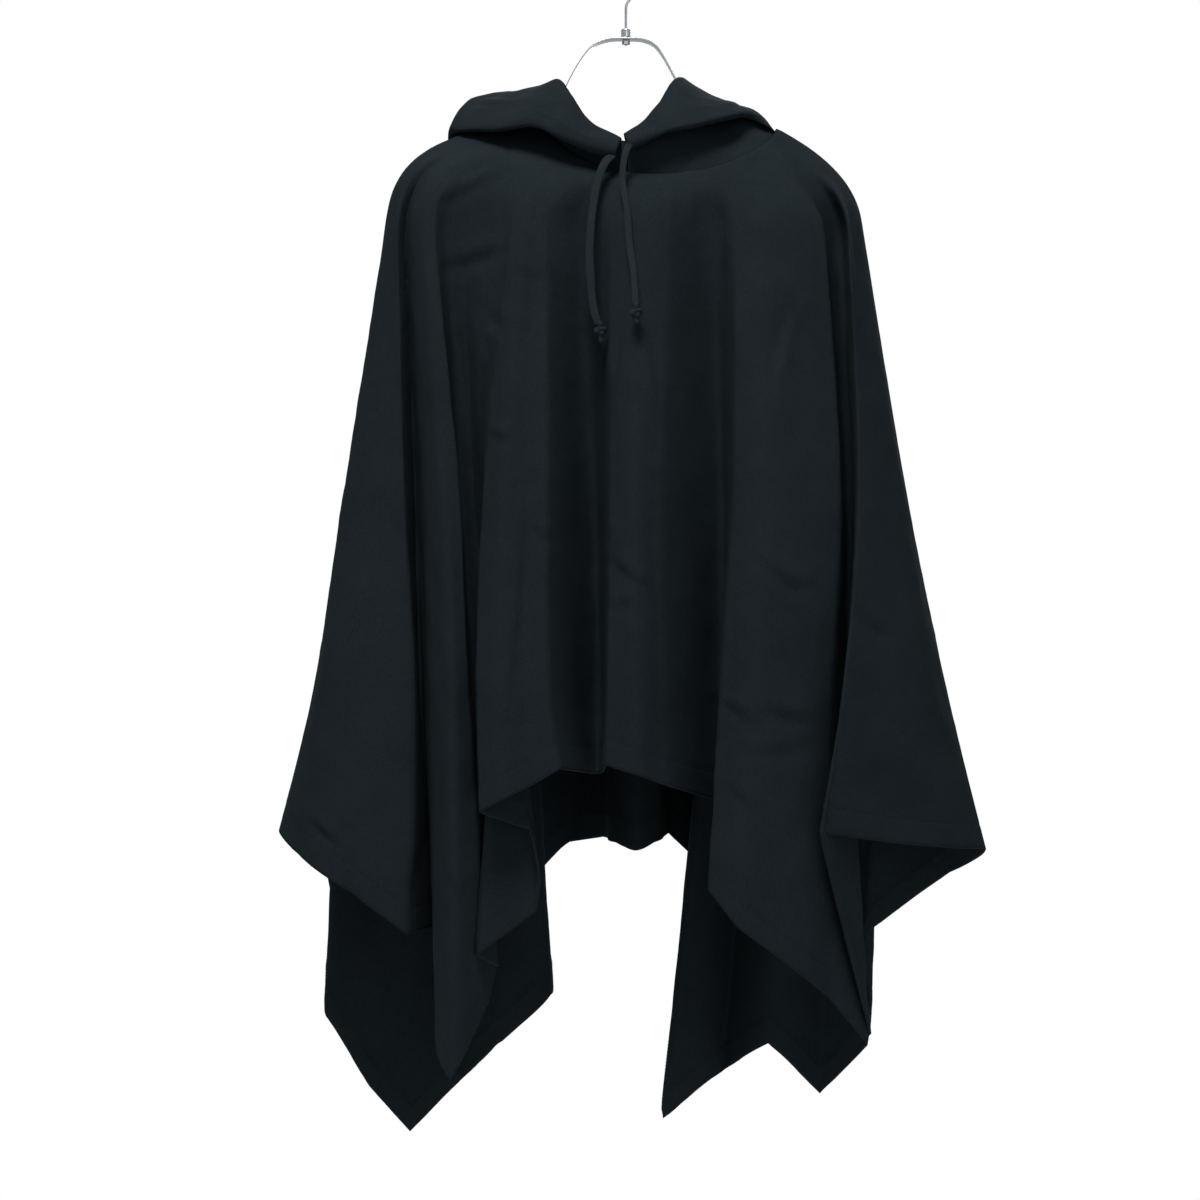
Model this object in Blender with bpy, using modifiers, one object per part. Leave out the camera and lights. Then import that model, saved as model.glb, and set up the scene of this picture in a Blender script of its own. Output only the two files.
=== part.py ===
"""Hooded wool cloak hanging on a flat-strip steel hanger.

The origin is the point of the hook that bears on a rail, at the inside top of the hook.
+Z is up and the front of the cloak faces -Y. Tables are in millimetres, the model is in metres.
"""
import math
from collections import namedtuple

import bmesh
import bpy
from mathutils import Vector

MM = 0.001

# Cloth
WALL = 1.6                 # felted wool, one layer
SEAM_GAP = 0.3             # between the two cloths of a seam
HOOD_LIFT = 0.7            # of the hood's base over the neck edge
SEAM_EASE = 2.0            # width that lies flat on each side of a seam
SEAM_PROBE = 0.02          # share of an interval over which a seam's direction is measured
CHEST_Z = -272.0           # levels at which the fold lines are placed
WAIST_Z = -542.0
LOW_Z = -742.0
YOKE_STEPS = 5             # rows of faces from neck seam to chest
DROP_STEPS = 12            # rows of faces from chest to hem
FOLD_STEPS = 2             # faces between one fold line and the next
PROFILE_STEPS = 3          # faces between one point of a hood profile and the next

# Neck seam, an oval that dips at the front
NECK_X = 30.0
NECK_HALF_WIDTH = 120.0
NECK_FRONT_DEPTH = 72.0
NECK_BACK_DEPTH = 66.0
NECK_LEFT_Z = -154.0
NECK_RIGHT_Z = -170.0
NECK_FRONT_Z = -226.0
NECK_BACK_Z = -186.0
NECK_DIP_POWER = 1.3

# Shoulders: how the cloth leaves the neck and turns down over the arm of the hanger
YOKE_RUN = 0.57            # share of the way out that it keeps the shoulder slope
YOKE_SLOPE_LEFT = 0.30     # fall over run of the left shoulder
YOKE_SLOPE_RIGHT = 0.50
YOKE_TURN_LEFT = 0.75      # share of the fall in which it turns down
YOKE_TURN_RIGHT = 0.42

# Hanger
STRIP_DEPTH = 15.0
STRIP_THICKNESS = 2.0
ARM_SAG_NECK = 9.0         # from the cloth's ridge down to the arm, at the neck
ARM_SAG_END = 4.2          # the same at the arm's end
ARM_END = 0.60             # share of the yoke at which an arm ends
WIRE_DIAMETER = 2.8
HOOK_RADIUS = 20.0         # of the wire's centre line
HOOK_TIP_ANGLE = 205.0
STEM_BEND_Z = -50.0        # where the straight stem starts to lean out
STEM_X = -1.0
ARCH_TOP_Z = -80.5
BORE_CLEARANCE = 0.3
FERRULE_DIAMETER = 10.0
FERRULE_HEIGHT = 9.0
NUT_DIAMETER = 8.0
NUT_HEIGHT = 4.0

# Ties
TIE_DIAMETER = 5.0
KNOT_RADIUS = 6.5
KNOT_STRETCH = 1.25

# A fold line runs from the neck seam to the hem. Its columns are x and y at the chest,
# the waist and the low level, and x, y and z at the hem.
FoldLine = namedtuple("FoldLine", "name chest waist low hem")

FRONT_FOLDS = [FoldLine(*row) for row in (
    ("seam_left", (-242, 0), (-283, 0), (-316, 0), (-348, 0, -871)),
    ("sleeve_a", (-238, -24), (-278, -40), (-304, -48), (-325, -50, -891)),
    ("sleeve_b", (-230, -40), (-242, -68), (-252, -88), (-267, -92, -926)),
    ("sleeve_edge", (-223, -46), (-218, -70), (-207, -92), (-214, -96, -965)),
    ("groove_a", (-217, -46), (-210, -34), (-204, -36), (-188, -30, -992)),
    ("fold1_left", (-203, -62), (-194, -92), (-189, -98), (-185, -96, -1080)),
    ("fold1_crest", (-191, -74), (-179, -112), (-172, -122), (-172, -118, -1103)),
    ("fold1_edge", (-177, -78), (-164, -104), (-153, -112), (-152, -106, -1063)),
    ("groove_b", (-155, -78), (-158, -52), (-146, -70), (-130, -64, -1003)),
    ("tuck_left", (-142, -82), (-148, -58), (-126, -84), (-116, -84, -978)),
    ("tuck_right", (-128, -88), (-138, -84), (-104, -108), (-88, -112, -941)),
    ("tuck_turn", (-122, -91), (-140, -98), (-118, -120), (-95, -124, -862)),
    ("fold2_edge", (-116, -94), (-141, -112), (-145, -134), (-143, -142, -844)),
    ("fold2_crest", (-104, -98), (-119, -132), (-122, -150), (-119, -156, -831)),
    ("fold2_dip", (-93, -98), (-97, -120), (-98, -136), (-94, -142, -819)),
    ("fold2_right", (-79, -97), (-79, -130), (-76, -146), (-65, -150, -802)),
    ("groove_c", (-50, -92), (-52, -62), (-53, -54), (-47, -56, -791)),
    ("middle_left", (-21, -95), (-18, -122), (-21, -140), (-22, -144, -809)),
    ("middle_crest", (13, -104), (5, -142), (7, -156), (7, -158, -812)),
    ("middle_right", (46, -100), (32, -128), (34, -136), (38, -138, -819)),
    ("groove_d", (78, -92), (71, -62), (63, -54), (65, -56, -838)),
    ("fold3_edge", (106, -96), (101, -120), (87, -132), (76, -134, -919)),
    ("fold3_crest", (132, -96), (128, -134), (117, -152), (104, -154, -963)),
    ("fold3_face", (159, -86), (165, -124), (164, -136), (168, -136, -1010)),
    ("fold3_turn", (180, -72), (198, -98), (194, -108), (194, -110, -1038)),
    ("pleat_back", (196, -58), (218, -66), (224, -78), (232, -84, -1071)),
    ("pleat_middle", (204, -54), (220, -80), (210, -108), (208, -112, -968)),
    ("cuff_edge", (212, -50), (222, -90), (206, -128), (183, -138, -864)),
    ("cuff_face", (222, -36), (249, -70), (258, -86), (265, -88, -878)),
    ("cuff_outer", (230, -22), (272, -38), (304, -42), (324, -42, -886)),
    ("seam_right", (236, 0), (281, 0), (322, 0), (359, 0, -890)),
)]

BACK_FOLDS = [FoldLine(*row) for row in (
    ("seam_right", (236, 0), (281, 0), (322, 0), (359, 0, -890)),
    ("cuff_back", (235, 22), (277, 44), (315, 56), (330, 60, -919)),
    ("groove_g", (227, 38), (260, 50), (264, 50), (246, 52, -978)),
    ("flap_right", (217, 50), (250, 76), (254, 84), (247, 72, -1098)),
    ("flap_tip", (203, 62), (224, 98), (220, 118), (201, 112, -1153)),
    ("groove_h", (184, 70), (190, 74), (173, 68), (146, 84, -1097)),
    ("fold5_crest", (156, 80), (160, 118), (138, 138), (100, 134, -1134)),
    ("corner_back_r", (128, 84), (119, 80), (87, 62), (37, 56, -1169)),
    ("fold6_right", (101, 89), (98, 112), (80, 124), (60, 120, -1008)),
    ("fold6_crest", (77, 91), (76, 134), (74, 160), (74, 160, -914)),
    ("fold6_left", (54, 90), (50, 116), (46, 132), (44, 138, -885)),
    ("middle_back_r", (31, 87), (30, 78), (27, 56), (27, 54, -888)),
    ("middle_back", (10, 85), (10, 62), (9, 32), (9, 26, -894)),
    ("middle_back_l", (-10, 87), (-11, 78), (-10, 56), (-10, 54, -888)),
    ("fold7_right", (-33, 90), (-31, 118), (-27, 134), (-23, 140, -889)),
    ("fold7_crest", (-58, 91), (-54, 132), (-54, 156), (-59, 160, -896)),
    ("fold7_left", (-81, 89), (-79, 112), (-83, 128), (-93, 132, -926)),
    ("side_turn", (-102, 87), (-98, 88), (-94, 76), (-80, 70, -1026)),
    ("turn_right", (-114, 86), (-108, 74), (-97, 34), (-78, 18, -1039)),
    ("turn_left", (-127, 85), (-122, 72), (-120, 28), (-124, 14, -1084)),
    ("fold8_left", (-143, 83), (-142, 94), (-146, 62), (-145, 50, -1108)),
    ("fold8_crest", (-162, 79), (-166, 112), (-172, 104), (-169, 92, -1135)),
    ("corner_back_l", (-186, 72), (-190, 90), (-208, 88), (-222, 76, -1186)),
    ("fold9_crest", (-204, 64), (-217, 94), (-249, 80), (-264, 66, -1137)),
    ("fold9_left", (-218, 54), (-239, 62), (-284, 54), (-304, 50, -1065)),
    ("groove_j", (-229, 42), (-258, 62), (-290, 82), (-304, 92, -1003)),
    ("sleeve_back", (-238, 24), (-277, 42), (-311, 60), (-305, 58, -924)),
    ("seam_left", (-242, 0), (-283, 0), (-316, 0), (-348, 0, -871)),
)]

# A hood profile leaves the neck seam at an angle round the neck (0 is right, 90 is the back),
# stands up, turns over its rim, lies outwards and ends at the face edge with its casing.
# At the back it hangs as a pouch whose lowest points are hang and tuck.
HoodProfile = namedtuple("HoodProfile", "name angle stand rim lay hang tuck edge")

HOOD_PROFILES = [HoodProfile(*row) for row in (
    ("throat_left", 254.3, (-6, -72, -208), (-7, -78, -193), (-11, -87, -199),
     (-14, -88, -204), (-15, -85, -207), (-12, -79, -206)),
    ("collar_left", 236, (-38, -60, -192), (-37, -66, -176), (-39, -84, -192),
     (-37, -85, -201), (-36, -81, -205), (-34, -74, -203)),
    ("cheek_left", 222, (-60, -46, -172), (-56, -48, -146), (-63, -76, -171),
     (-66, -80, -187), (-65, -78, -191), (-62, -72, -190)),
    ("peak_left", 202, (-78, -26, -156), (-68, -22, -127), (-86, -60, -154),
     (-92, -71, -174), (-91, -71, -178), (-88, -65, -177)),
    ("shoulder_left", 180, (-90, -2, -140), (-78, 8, -127), (-114, -18, -143),
     (-128, -50, -172), (-127, -52, -176), (-123, -47, -175)),
    ("roll_left", 161, (-92, 22, -142), (-88, 30, -131), (-142, 10, -140),
     (-159, -20, -167), (-160, -22, -171), (-156, -16, -170)),
    ("wing_left", 142, (-84, 42, -150), (-98, 48, -133), (-158, 42, -138),
     (-179, 32, -171), (-178, 42, -176), (-164, 56, -160)),
    ("pouch_left", 120, (-42, 60, -170), (-56, 66, -156), (-116, 92, -213),
     (-144, 110, -260), (-150, 125, -256), (-126, 114, -162)),
    ("nape", 94, (17, 70, -180), (12, 77, -174), (8, 106, -300),
     (5, 126, -426), (5, 146, -424), (8, 130, -188)),
    ("pouch_right", 60, (78, 62, -167), (60, 69, -149), (106, 92, -222),
     (122, 110, -266), (128, 125, -264), (112, 120, -168)),
    ("wing_right", 28, (114, 44, -162), (84, 54, -139), (116, 50, -156),
     (144, 58, -184), (148, 68, -188), (130, 76, -166)),
    ("roll_right", 0, (124, 12, -157), (82, 38, -134), (112, 16, -149),
     (134, 4, -155), (139, -2, -159), (141, -8, -163)),
    ("shoulder_right", -18, (114, -14, -159), (70, 16, -130), (95, -14, -146),
     (117, -30, -156), (121, -34, -161), (120, -31, -165)),
    ("peak_right", -36, (98, -36, -182), (54, -14, -123), (74, -42, -148),
     (93, -57, -164), (96, -60, -168), (95, -57, -171)),
    ("cheek_right", -55, (74, -52, -186), (44, -40, -134), (55, -65, -155),
     (65, -77, -174), (67, -79, -178), (66, -75, -180)),
    ("jaw_right", -73, (50, -64, -196), (32, -58, -155), (35, -79, -170),
     (39, -87, -181), (41, -88, -185), (40, -84, -187)),
    ("collar_right", -92, (21, -70, -203), (15, -70, -177), (17, -85, -186),
     (18, -90, -191), (19, -89, -195), (18, -85, -196)),
    ("throat_right", -105.0, (1, -72, -208), (1, -77, -188), (5, -87, -194),
     (7, -90, -198), (8, -88, -201), (6, -84, -202)),
)]
NAPE_INDEX = [profile.name for profile in HOOD_PROFILES].index("nape")

# Strip of the hanger between the two shoulder seams, x and z of its middle
ARCH_ROUTE = [(-80, -160), (-68, -146), (-59, -126), (-46, -103), (-33, -87.5), (-18, -82),
              (STEM_X, ARCH_TOP_Z - STRIP_THICKNESS / 2), (16, -82.5), (28, -88), (38, -102),
              (48, -121), (60, -143), (78, -158), (100, -168), (124, -176)]

# Ties, from the casing at the throat down to the knot
TIE_LEFT_ROUTE = [(-15, -86, -210), (-22, -92, -218), (-29, -98, -236), (-35, -103, -272),
                  (-37, -106, -316), (-33, -110, -362), (-29, -112, -376)]
TIE_RIGHT_ROUTE = [(4.1, -88.5, -196.1), (-0.8, -91.6, -204.7), (-4, -95, -218), (-5, -99, -238),
                   (-1, -108, -266), (1, -114, -296), (5, -124, -328), (7, -132, -360)]

WOOL = ("wool_black", (0.012, 0.014, 0.014, 1.0), 0.95, 0.0)
STEEL = ("steel_polished", (0.60, 0.60, 0.61, 1.0), 0.28, 1.0)


def clear_scene():
    """Remove whatever the file holds, so that the model starts empty."""
    for scene_object in list(bpy.data.objects):
        bpy.data.objects.remove(scene_object, do_unlink=True)


def material(kind):
    """Return the Principled material of that kind, made once."""
    name, colour, roughness, metallic = kind
    found = bpy.data.materials.get(name)
    if found:
        return found
    made = bpy.data.materials.new(name)
    made.use_nodes = True
    shader = made.node_tree.nodes["Principled BSDF"]
    shader.inputs["Base Color"].default_value = colour
    shader.inputs["Roughness"].default_value = roughness
    shader.inputs["Metallic"].default_value = metallic
    made.diffuse_color = colour
    return made


def add_object(collection, name, data, kind=None):
    """Link a new object with its material to a collection."""
    made = bpy.data.objects.new(name, data)
    if kind:
        data.materials.append(material(kind))
    collection.objects.link(made)
    return made


def spline_point(points, place):
    """Return the point at a fractional place on a centripetal spline through all the points."""
    last = len(points) - 1
    start = min(max(int(place), 0), last - 1)
    share = place - start
    inner_a, inner_b = points[start], points[start + 1]
    outer_a = points[start - 1] if start > 0 else inner_a * 2 - inner_b
    outer_b = points[start + 2] if start + 2 <= last else inner_b * 2 - inner_a
    knots = [0.0]
    for near, far in ((outer_a, inner_a), (inner_a, inner_b), (inner_b, outer_b)):
        knots.append(knots[-1] + max((far - near).length, 1e-6) ** 0.5)
    t0, t1, t2, t3 = knots
    t = t1 + (t2 - t1) * share
    a1 = outer_a * ((t1 - t) / (t1 - t0)) + inner_a * ((t - t0) / (t1 - t0))
    a2 = inner_a * ((t2 - t) / (t2 - t1)) + inner_b * ((t - t1) / (t2 - t1))
    a3 = inner_b * ((t3 - t) / (t3 - t2)) + outer_b * ((t - t2) / (t3 - t2))
    b1 = a1 * ((t2 - t) / (t2 - t0)) + a2 * ((t - t0) / (t2 - t0))
    b2 = a2 * ((t3 - t) / (t3 - t1)) + a3 * ((t - t1) / (t3 - t1))
    return b1 * ((t2 - t) / (t2 - t1)) + b2 * ((t - t1) / (t2 - t1))


def neck_point(angle):
    """Return the point of the neck seam at an angle in degrees round the neck."""
    across, along = math.cos(math.radians(angle)), math.sin(math.radians(angle))
    depth, end_z = (NECK_BACK_DEPTH, NECK_BACK_Z) if along > 0 else (NECK_FRONT_DEPTH, NECK_FRONT_Z)
    side_z = NECK_LEFT_Z + (NECK_RIGHT_Z - NECK_LEFT_Z) * (1 + across) / 2
    z = side_z + (end_z - side_z) * abs(along) ** NECK_DIP_POWER
    return Vector((NECK_X + NECK_HALF_WIDTH * across, depth * along, z))


def yoke_point(neck, chest, share):
    """Return a point of a fold line between the neck seam and the chest."""
    run = (chest - neck) * YOKE_RUN
    rightness = (neck.x - NECK_X + NECK_HALF_WIDTH) / (2 * NECK_HALF_WIDTH)
    slope = YOKE_SLOPE_LEFT + (YOKE_SLOPE_RIGHT - YOKE_SLOPE_LEFT) * rightness
    turn = YOKE_TURN_LEFT + (YOKE_TURN_RIGHT - YOKE_TURN_LEFT) * rightness
    leave = neck + Vector((run.x, run.y, -slope * Vector((run.x, run.y)).length))
    arrive = chest + Vector((0, 0, (neck.z - chest.z) * turn))
    rest = 1 - share
    return (neck * rest ** 3 + leave * (3 * rest * rest * share)
            + arrive * (3 * rest * share * share) + chest * share ** 3)


def drop_point(fold, share):
    """Return a point of a fold line between the chest and the hem."""
    stops = [Vector((*fold.chest, CHEST_Z)), Vector((*fold.waist, WAIST_Z)),
             Vector((*fold.low, LOW_Z)), Vector(fold.hem)]
    z = CHEST_Z + (fold.hem[2] - CHEST_Z) * share
    place = next((i for i in range(len(stops) - 1) if z >= stops[i + 1].z - 1e-6), len(stops) - 2)
    slopes = []
    for i, stop in enumerate(stops):
        before, after = stops[max(i - 1, 0)], stops[min(i + 1, len(stops) - 1)]
        slopes.append((after - before) / (after.z - before.z))
    upper, lower = stops[place], stops[place + 1]
    span = lower.z - upper.z
    t = (z - upper.z) / span
    point = (upper * (2 * t ** 3 - 3 * t ** 2 + 1) + slopes[place] * span * (t ** 3 - 2 * t ** 2 + t)
             + lower * (3 * t ** 2 - 2 * t ** 3) + slopes[place + 1] * span * (t ** 3 - t ** 2))
    point.z = z
    return point


def neck_angles(folds, start_angle):
    """Spread the fold lines over half the neck seam as they are spread over the chest."""
    chests = [Vector(fold.chest) for fold in folds]
    lengths = [0.0]
    for near, far in zip(chests, chests[1:]):
        lengths.append(lengths[-1] + (far - near).length)
    return [start_angle + 180 * length / lengths[-1] for length in lengths]


def fold_line_points(fold, angle):
    """Return the points of one fold line, from the neck seam to the hem."""
    neck = neck_point(angle)
    chest = Vector((*fold.chest, CHEST_Z))
    yoke = [yoke_point(neck, chest, step / YOKE_STEPS) for step in range(YOKE_STEPS)]
    drop = [drop_point(fold, step / DROP_STEPS) for step in range(DROP_STEPS + 1)]
    return yoke + drop


def body_lines():
    """Return the fold lines of the front and the back as one closed ring."""
    front = [fold_line_points(fold, angle)
             for fold, angle in zip(FRONT_FOLDS, neck_angles(FRONT_FOLDS, 180))]
    back = [fold_line_points(fold, angle)
            for fold, angle in zip(BACK_FOLDS, neck_angles(BACK_FOLDS, 0))]
    return front[:-1] + back[:-1]


def panel_places(first, last, seams):
    """Return the places along a ring at which a cloth has its columns of points."""
    places = [first + step / FOLD_STEPS for step in range((last - first) * FOLD_STEPS + 1)]
    if "first" in seams:
        places.insert(1, first)
    if "last" in seams:
        places.insert(-1, last)
    return places


def cloth_columns(point_at, levels, first, last, seams):
    """Return columns of points between two places, flat beside each seam and parted by half its gap."""
    columns = [[point_at(place, level) for level in range(levels)]
               for place in panel_places(first, last, seams)]
    ends = [(first, 0, 1, 2, 1)] if "first" in seams else []
    ends += [(last, -1, -2, -3, -1)] if "last" in seams else []
    for seam, end, ease, inner, sign in ends:
        for level in range(levels):
            ahead = point_at(seam + SEAM_PROBE, level) - point_at(seam - SEAM_PROBE, level)
            inwards = ahead.normalized() * sign
            start = columns[end][level]
            width = min(SEAM_EASE, (columns[inner][level] - start).length / 2)
            columns[end][level] = start + inwards * (SEAM_GAP / 2)
            columns[ease][level] = start + inwards * width
    return columns


def cloth_object(collection, name, columns, flip=False):
    """Make a cloth wall from columns of points, its thickness on the inner side."""
    levels = len(columns[0])
    points = [point * MM for column in columns for point in column]
    faces = []
    for column in range(len(columns) - 1):
        for level in range(levels - 1):
            corner = column * levels + level
            face = (corner, corner + 1, corner + levels + 1, corner + levels)
            faces.append(face[::-1] if flip else face)
    mesh = bpy.data.meshes.new(name)
    mesh.from_pydata(points, [], faces)
    mesh.shade_smooth()
    made = add_object(collection, name, mesh, WOOL)
    wall = made.modifiers.new("wall", "SOLIDIFY")
    wall.thickness = WALL * MM
    wall.offset = -1.0
    wall.use_even_offset = False
    return made


def build_body(collection):
    """Make the front and back panels from one ring of fold lines, wrapped past its start."""
    ring = body_lines()
    front_count = len(FRONT_FOLDS) - 1
    start = 2
    turn = start + front_count
    end = start + len(ring)
    wrapped = ring[-start:] + ring + ring[:start + 1]
    level_lines = list(zip(*wrapped))

    def point_at(place, level):
        return spline_point(level_lines[level], place)

    for name, first, last in (("front_panel", start, turn), ("back_panel", turn, end)):
        columns = cloth_columns(point_at, len(level_lines), first, last, ("first", "last"))
        cloth_object(collection, name, columns)


def hood_point(place, level):
    """Return a point of the hood at a place between its profiles and a level up from the neck."""
    index = min(int(place), len(HOOD_PROFILES) - 2)
    near, far = HOOD_PROFILES[index].angle, HOOD_PROFILES[index + 1].angle
    seam = neck_point(near + (far - near) * (place - index)) + Vector((0, 0, HOOD_LIFT))
    stops = [seam]
    for stop in zip(*(profile[2:] for profile in HOOD_PROFILES)):
        stops.append(spline_point([Vector(point) for point in stop], place))
    return spline_point(stops, level / PROFILE_STEPS)


def build_hood(collection):
    """Make the two halves of the hood, parted at the seam down the back."""
    levels = (len(HOOD_PROFILES[0]) - 2) * PROFILE_STEPS + 1
    last = len(HOOD_PROFILES) - 1
    cloth_object(collection, "hood_left", cloth_columns(hood_point, levels, 0, NAPE_INDEX, ("last",)))
    cloth_object(collection, "hood_right", cloth_columns(hood_point, levels, NAPE_INDEX, last, ("first",)))


def tube(collection, name, points, diameter, kind, resolution=2):
    """Make a round tube along a smooth route, with its ends filled."""
    curve = bpy.data.curves.new(name, "CURVE")
    curve.dimensions = "3D"
    curve.bevel_depth = diameter / 2 * MM
    curve.bevel_resolution = resolution
    curve.use_fill_caps = True
    line = curve.splines.new("POLY")
    line.points.add(len(points) - 1)
    for target, point in zip(line.points, points):
        target.co = (*(point * MM), 1.0)
    return add_object(collection, name, curve, kind)


def smooth_route(stops, steps):
    """Return points of a smooth curve through the stops of a route."""
    route = [Vector(stop) for stop in stops]
    return [spline_point(route, step / steps) for step in range((len(route) - 1) * steps + 1)]


def build_tie(collection, side, stops):
    """Make one tie and the knot at its end, the knot just clear of the tie."""
    points = smooth_route(stops, 4)
    tube(collection, f"tie_{side}", points, TIE_DIAMETER, WOOL)
    fall = (points[-1] - points[-2]).normalized()
    centre = points[-1] + fall * (KNOT_RADIUS * KNOT_STRETCH + SEAM_GAP)
    mesh = bpy.data.meshes.new(f"knot_{side}")
    ball = bmesh.new()
    bmesh.ops.create_uvsphere(ball, u_segments=12, v_segments=8, radius=KNOT_RADIUS * MM)
    bmesh.ops.scale(ball, vec=(1, 1, KNOT_STRETCH), verts=ball.verts)
    ball.to_mesh(mesh)
    ball.free()
    mesh.shade_smooth()
    knot = add_object(collection, f"knot_{side}", mesh, WOOL)
    knot.location = centre * MM
    knot.rotation_mode = "QUATERNION"
    knot.rotation_quaternion = Vector((0, 0, -1)).rotation_difference(fall)


def arm_route(fold, angle):
    """Return the middle of an arm's strip under one shoulder seam, from the neck outwards."""
    neck, chest = neck_point(angle), Vector((*fold.chest, CHEST_Z))
    steps = 12
    ridge = [yoke_point(neck, chest, step / steps * ARM_END) for step in range(steps + 1)]
    route = []
    for index, point in enumerate(ridge):
        ahead = ridge[min(index + 1, steps)] - ridge[max(index - 1, 0)]
        inward = Vector((ahead.z, 0, -ahead.x)).normalized()
        inward = inward if inward.z < 0 else -inward
        sag = ARM_SAG_NECK + (ARM_SAG_END - ARM_SAG_NECK) * index / steps
        route.append(point + inward * (sag + STRIP_THICKNESS / 2))
    return route


def drilled(target, cutter):
    """Cut a hole through an object."""
    hole = target.modifiers.new("bore", "BOOLEAN")
    hole.operation = "DIFFERENCE"
    hole.object = cutter


def cylinder(collection, name, diameter, bottom, top, kind, sides=24):
    """Make an upright cylinder on the stem's axis."""
    mesh = bpy.data.meshes.new(name)
    shape = bmesh.new()
    bmesh.ops.create_cone(shape, cap_ends=True, segments=sides, radius1=diameter / 2 * MM,
                          radius2=diameter / 2 * MM, depth=(top - bottom) * MM)
    shape.to_mesh(mesh)
    shape.free()
    made = add_object(collection, name, mesh, kind)
    made.location = Vector((STEM_X, 0, (bottom + top) / 2)) * MM
    return made


def build_strip(collection, cutter):
    """Make the strip of the hanger: left arm, neck arch and right arm in one bend."""
    left = arm_route(FRONT_FOLDS[0], 180)[::-1]
    right = arm_route(FRONT_FOLDS[-1], 0)
    arch = [Vector((x, 0, z)) for x, z in ARCH_ROUTE]
    middle = [left[-1]] + arch + [right[0]]
    bend = [spline_point(middle, step / 3) for step in range((len(middle) - 1) * 3 + 1)]
    route = left[:-1] + bend + right[1:]
    half = Vector((0, STRIP_DEPTH / 2, 0))
    points = [(point + shift) * MM for point in route for shift in (-half, half)]
    faces = [(2 * i, 2 * i + 2, 2 * i + 3, 2 * i + 1) for i in range(len(route) - 1)]
    mesh = bpy.data.meshes.new("hanger_strip")
    mesh.from_pydata(points, [], faces)
    strip = add_object(collection, "hanger_strip", mesh, STEEL)
    plate = strip.modifiers.new("plate", "SOLIDIFY")
    plate.thickness = STRIP_THICKNESS * MM
    plate.offset = 0.0
    drilled(strip, cutter)


def build_hook(collection):
    """Make the stem and hook, whose inside top is the origin."""
    centre_z = WIRE_DIAMETER / 2 - HOOK_RADIUS
    foot_z = ARCH_TOP_Z - STRIP_THICKNESS - NUT_HEIGHT
    stem = [Vector((STEM_X, 0, foot_z + (STEM_BEND_Z - foot_z) * step / 4)) for step in range(5)]
    lean_start, lean_end = stem[-1], Vector((HOOK_RADIUS, 0, centre_z))
    lean = []
    for step in range(1, 8):
        share = step / 8
        sway = 3 * share ** 2 - 2 * share ** 3
        height = lean_start.z + (lean_end.z - lean_start.z) * share
        lean.append(Vector((STEM_X + (HOOK_RADIUS - STEM_X) * sway, 0, height)))
    turns = 22
    loop = []
    for step in range(turns + 1):
        angle = math.radians(HOOK_TIP_ANGLE * step / turns)
        loop.append(Vector((HOOK_RADIUS * math.cos(angle), 0, centre_z + HOOK_RADIUS * math.sin(angle))))
    tube(collection, "hanger_hook", stem + lean + loop, WIRE_DIAMETER, STEEL, resolution=3)


def build_hanger(collection, cutters):
    """Make the hanger: strip, hook, ferrule and nut."""
    bore = cylinder(cutters, "stem_bore", WIRE_DIAMETER + 2 * BORE_CLEARANCE, ARCH_TOP_Z - 20,
                    ARCH_TOP_Z + 20, None)
    bore.hide_render = True
    bore.display_type = "WIRE"
    build_strip(collection, bore)
    build_hook(collection)
    ferrule = cylinder(collection, "hanger_ferrule", FERRULE_DIAMETER, ARCH_TOP_Z + SEAM_GAP,
                       ARCH_TOP_Z + SEAM_GAP + FERRULE_HEIGHT, STEEL)
    drilled(ferrule, bore)
    nut_top = ARCH_TOP_Z - STRIP_THICKNESS - SEAM_GAP
    nut = cylinder(collection, "hanger_nut", NUT_DIAMETER, nut_top - NUT_HEIGHT, nut_top, STEEL, sides=6)
    drilled(nut, bore)


def main():
    """Build the cloak and its hanger."""
    clear_scene()
    cloak = bpy.data.collections.new("wool_cloak")
    cutters = bpy.data.collections.new("cutters")
    for collection in (cloak, cutters):
        bpy.context.scene.collection.children.link(collection)
    build_body(cloak)
    build_hood(cloak)
    build_tie(cloak, "left", TIE_LEFT_ROUTE)
    build_tie(cloak, "right", TIE_RIGHT_ROUTE)
    build_hanger(cloak, cutters)


main()
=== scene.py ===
"""Looks of the hooded wool cloak and the steel hanger that holds it.

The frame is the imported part: its origin is where the hook bears on a rail, +Z is up and the cloak
faces -Y. Tables are in millimetres, and meshes are made in metres.
"""
from __future__ import annotations

import logging
import math
from dataclasses import dataclass
from enum import Enum
from typing import Callable, NamedTuple, Optional, Sequence

import bpy
import numpy as np
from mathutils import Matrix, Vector, noise

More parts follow.
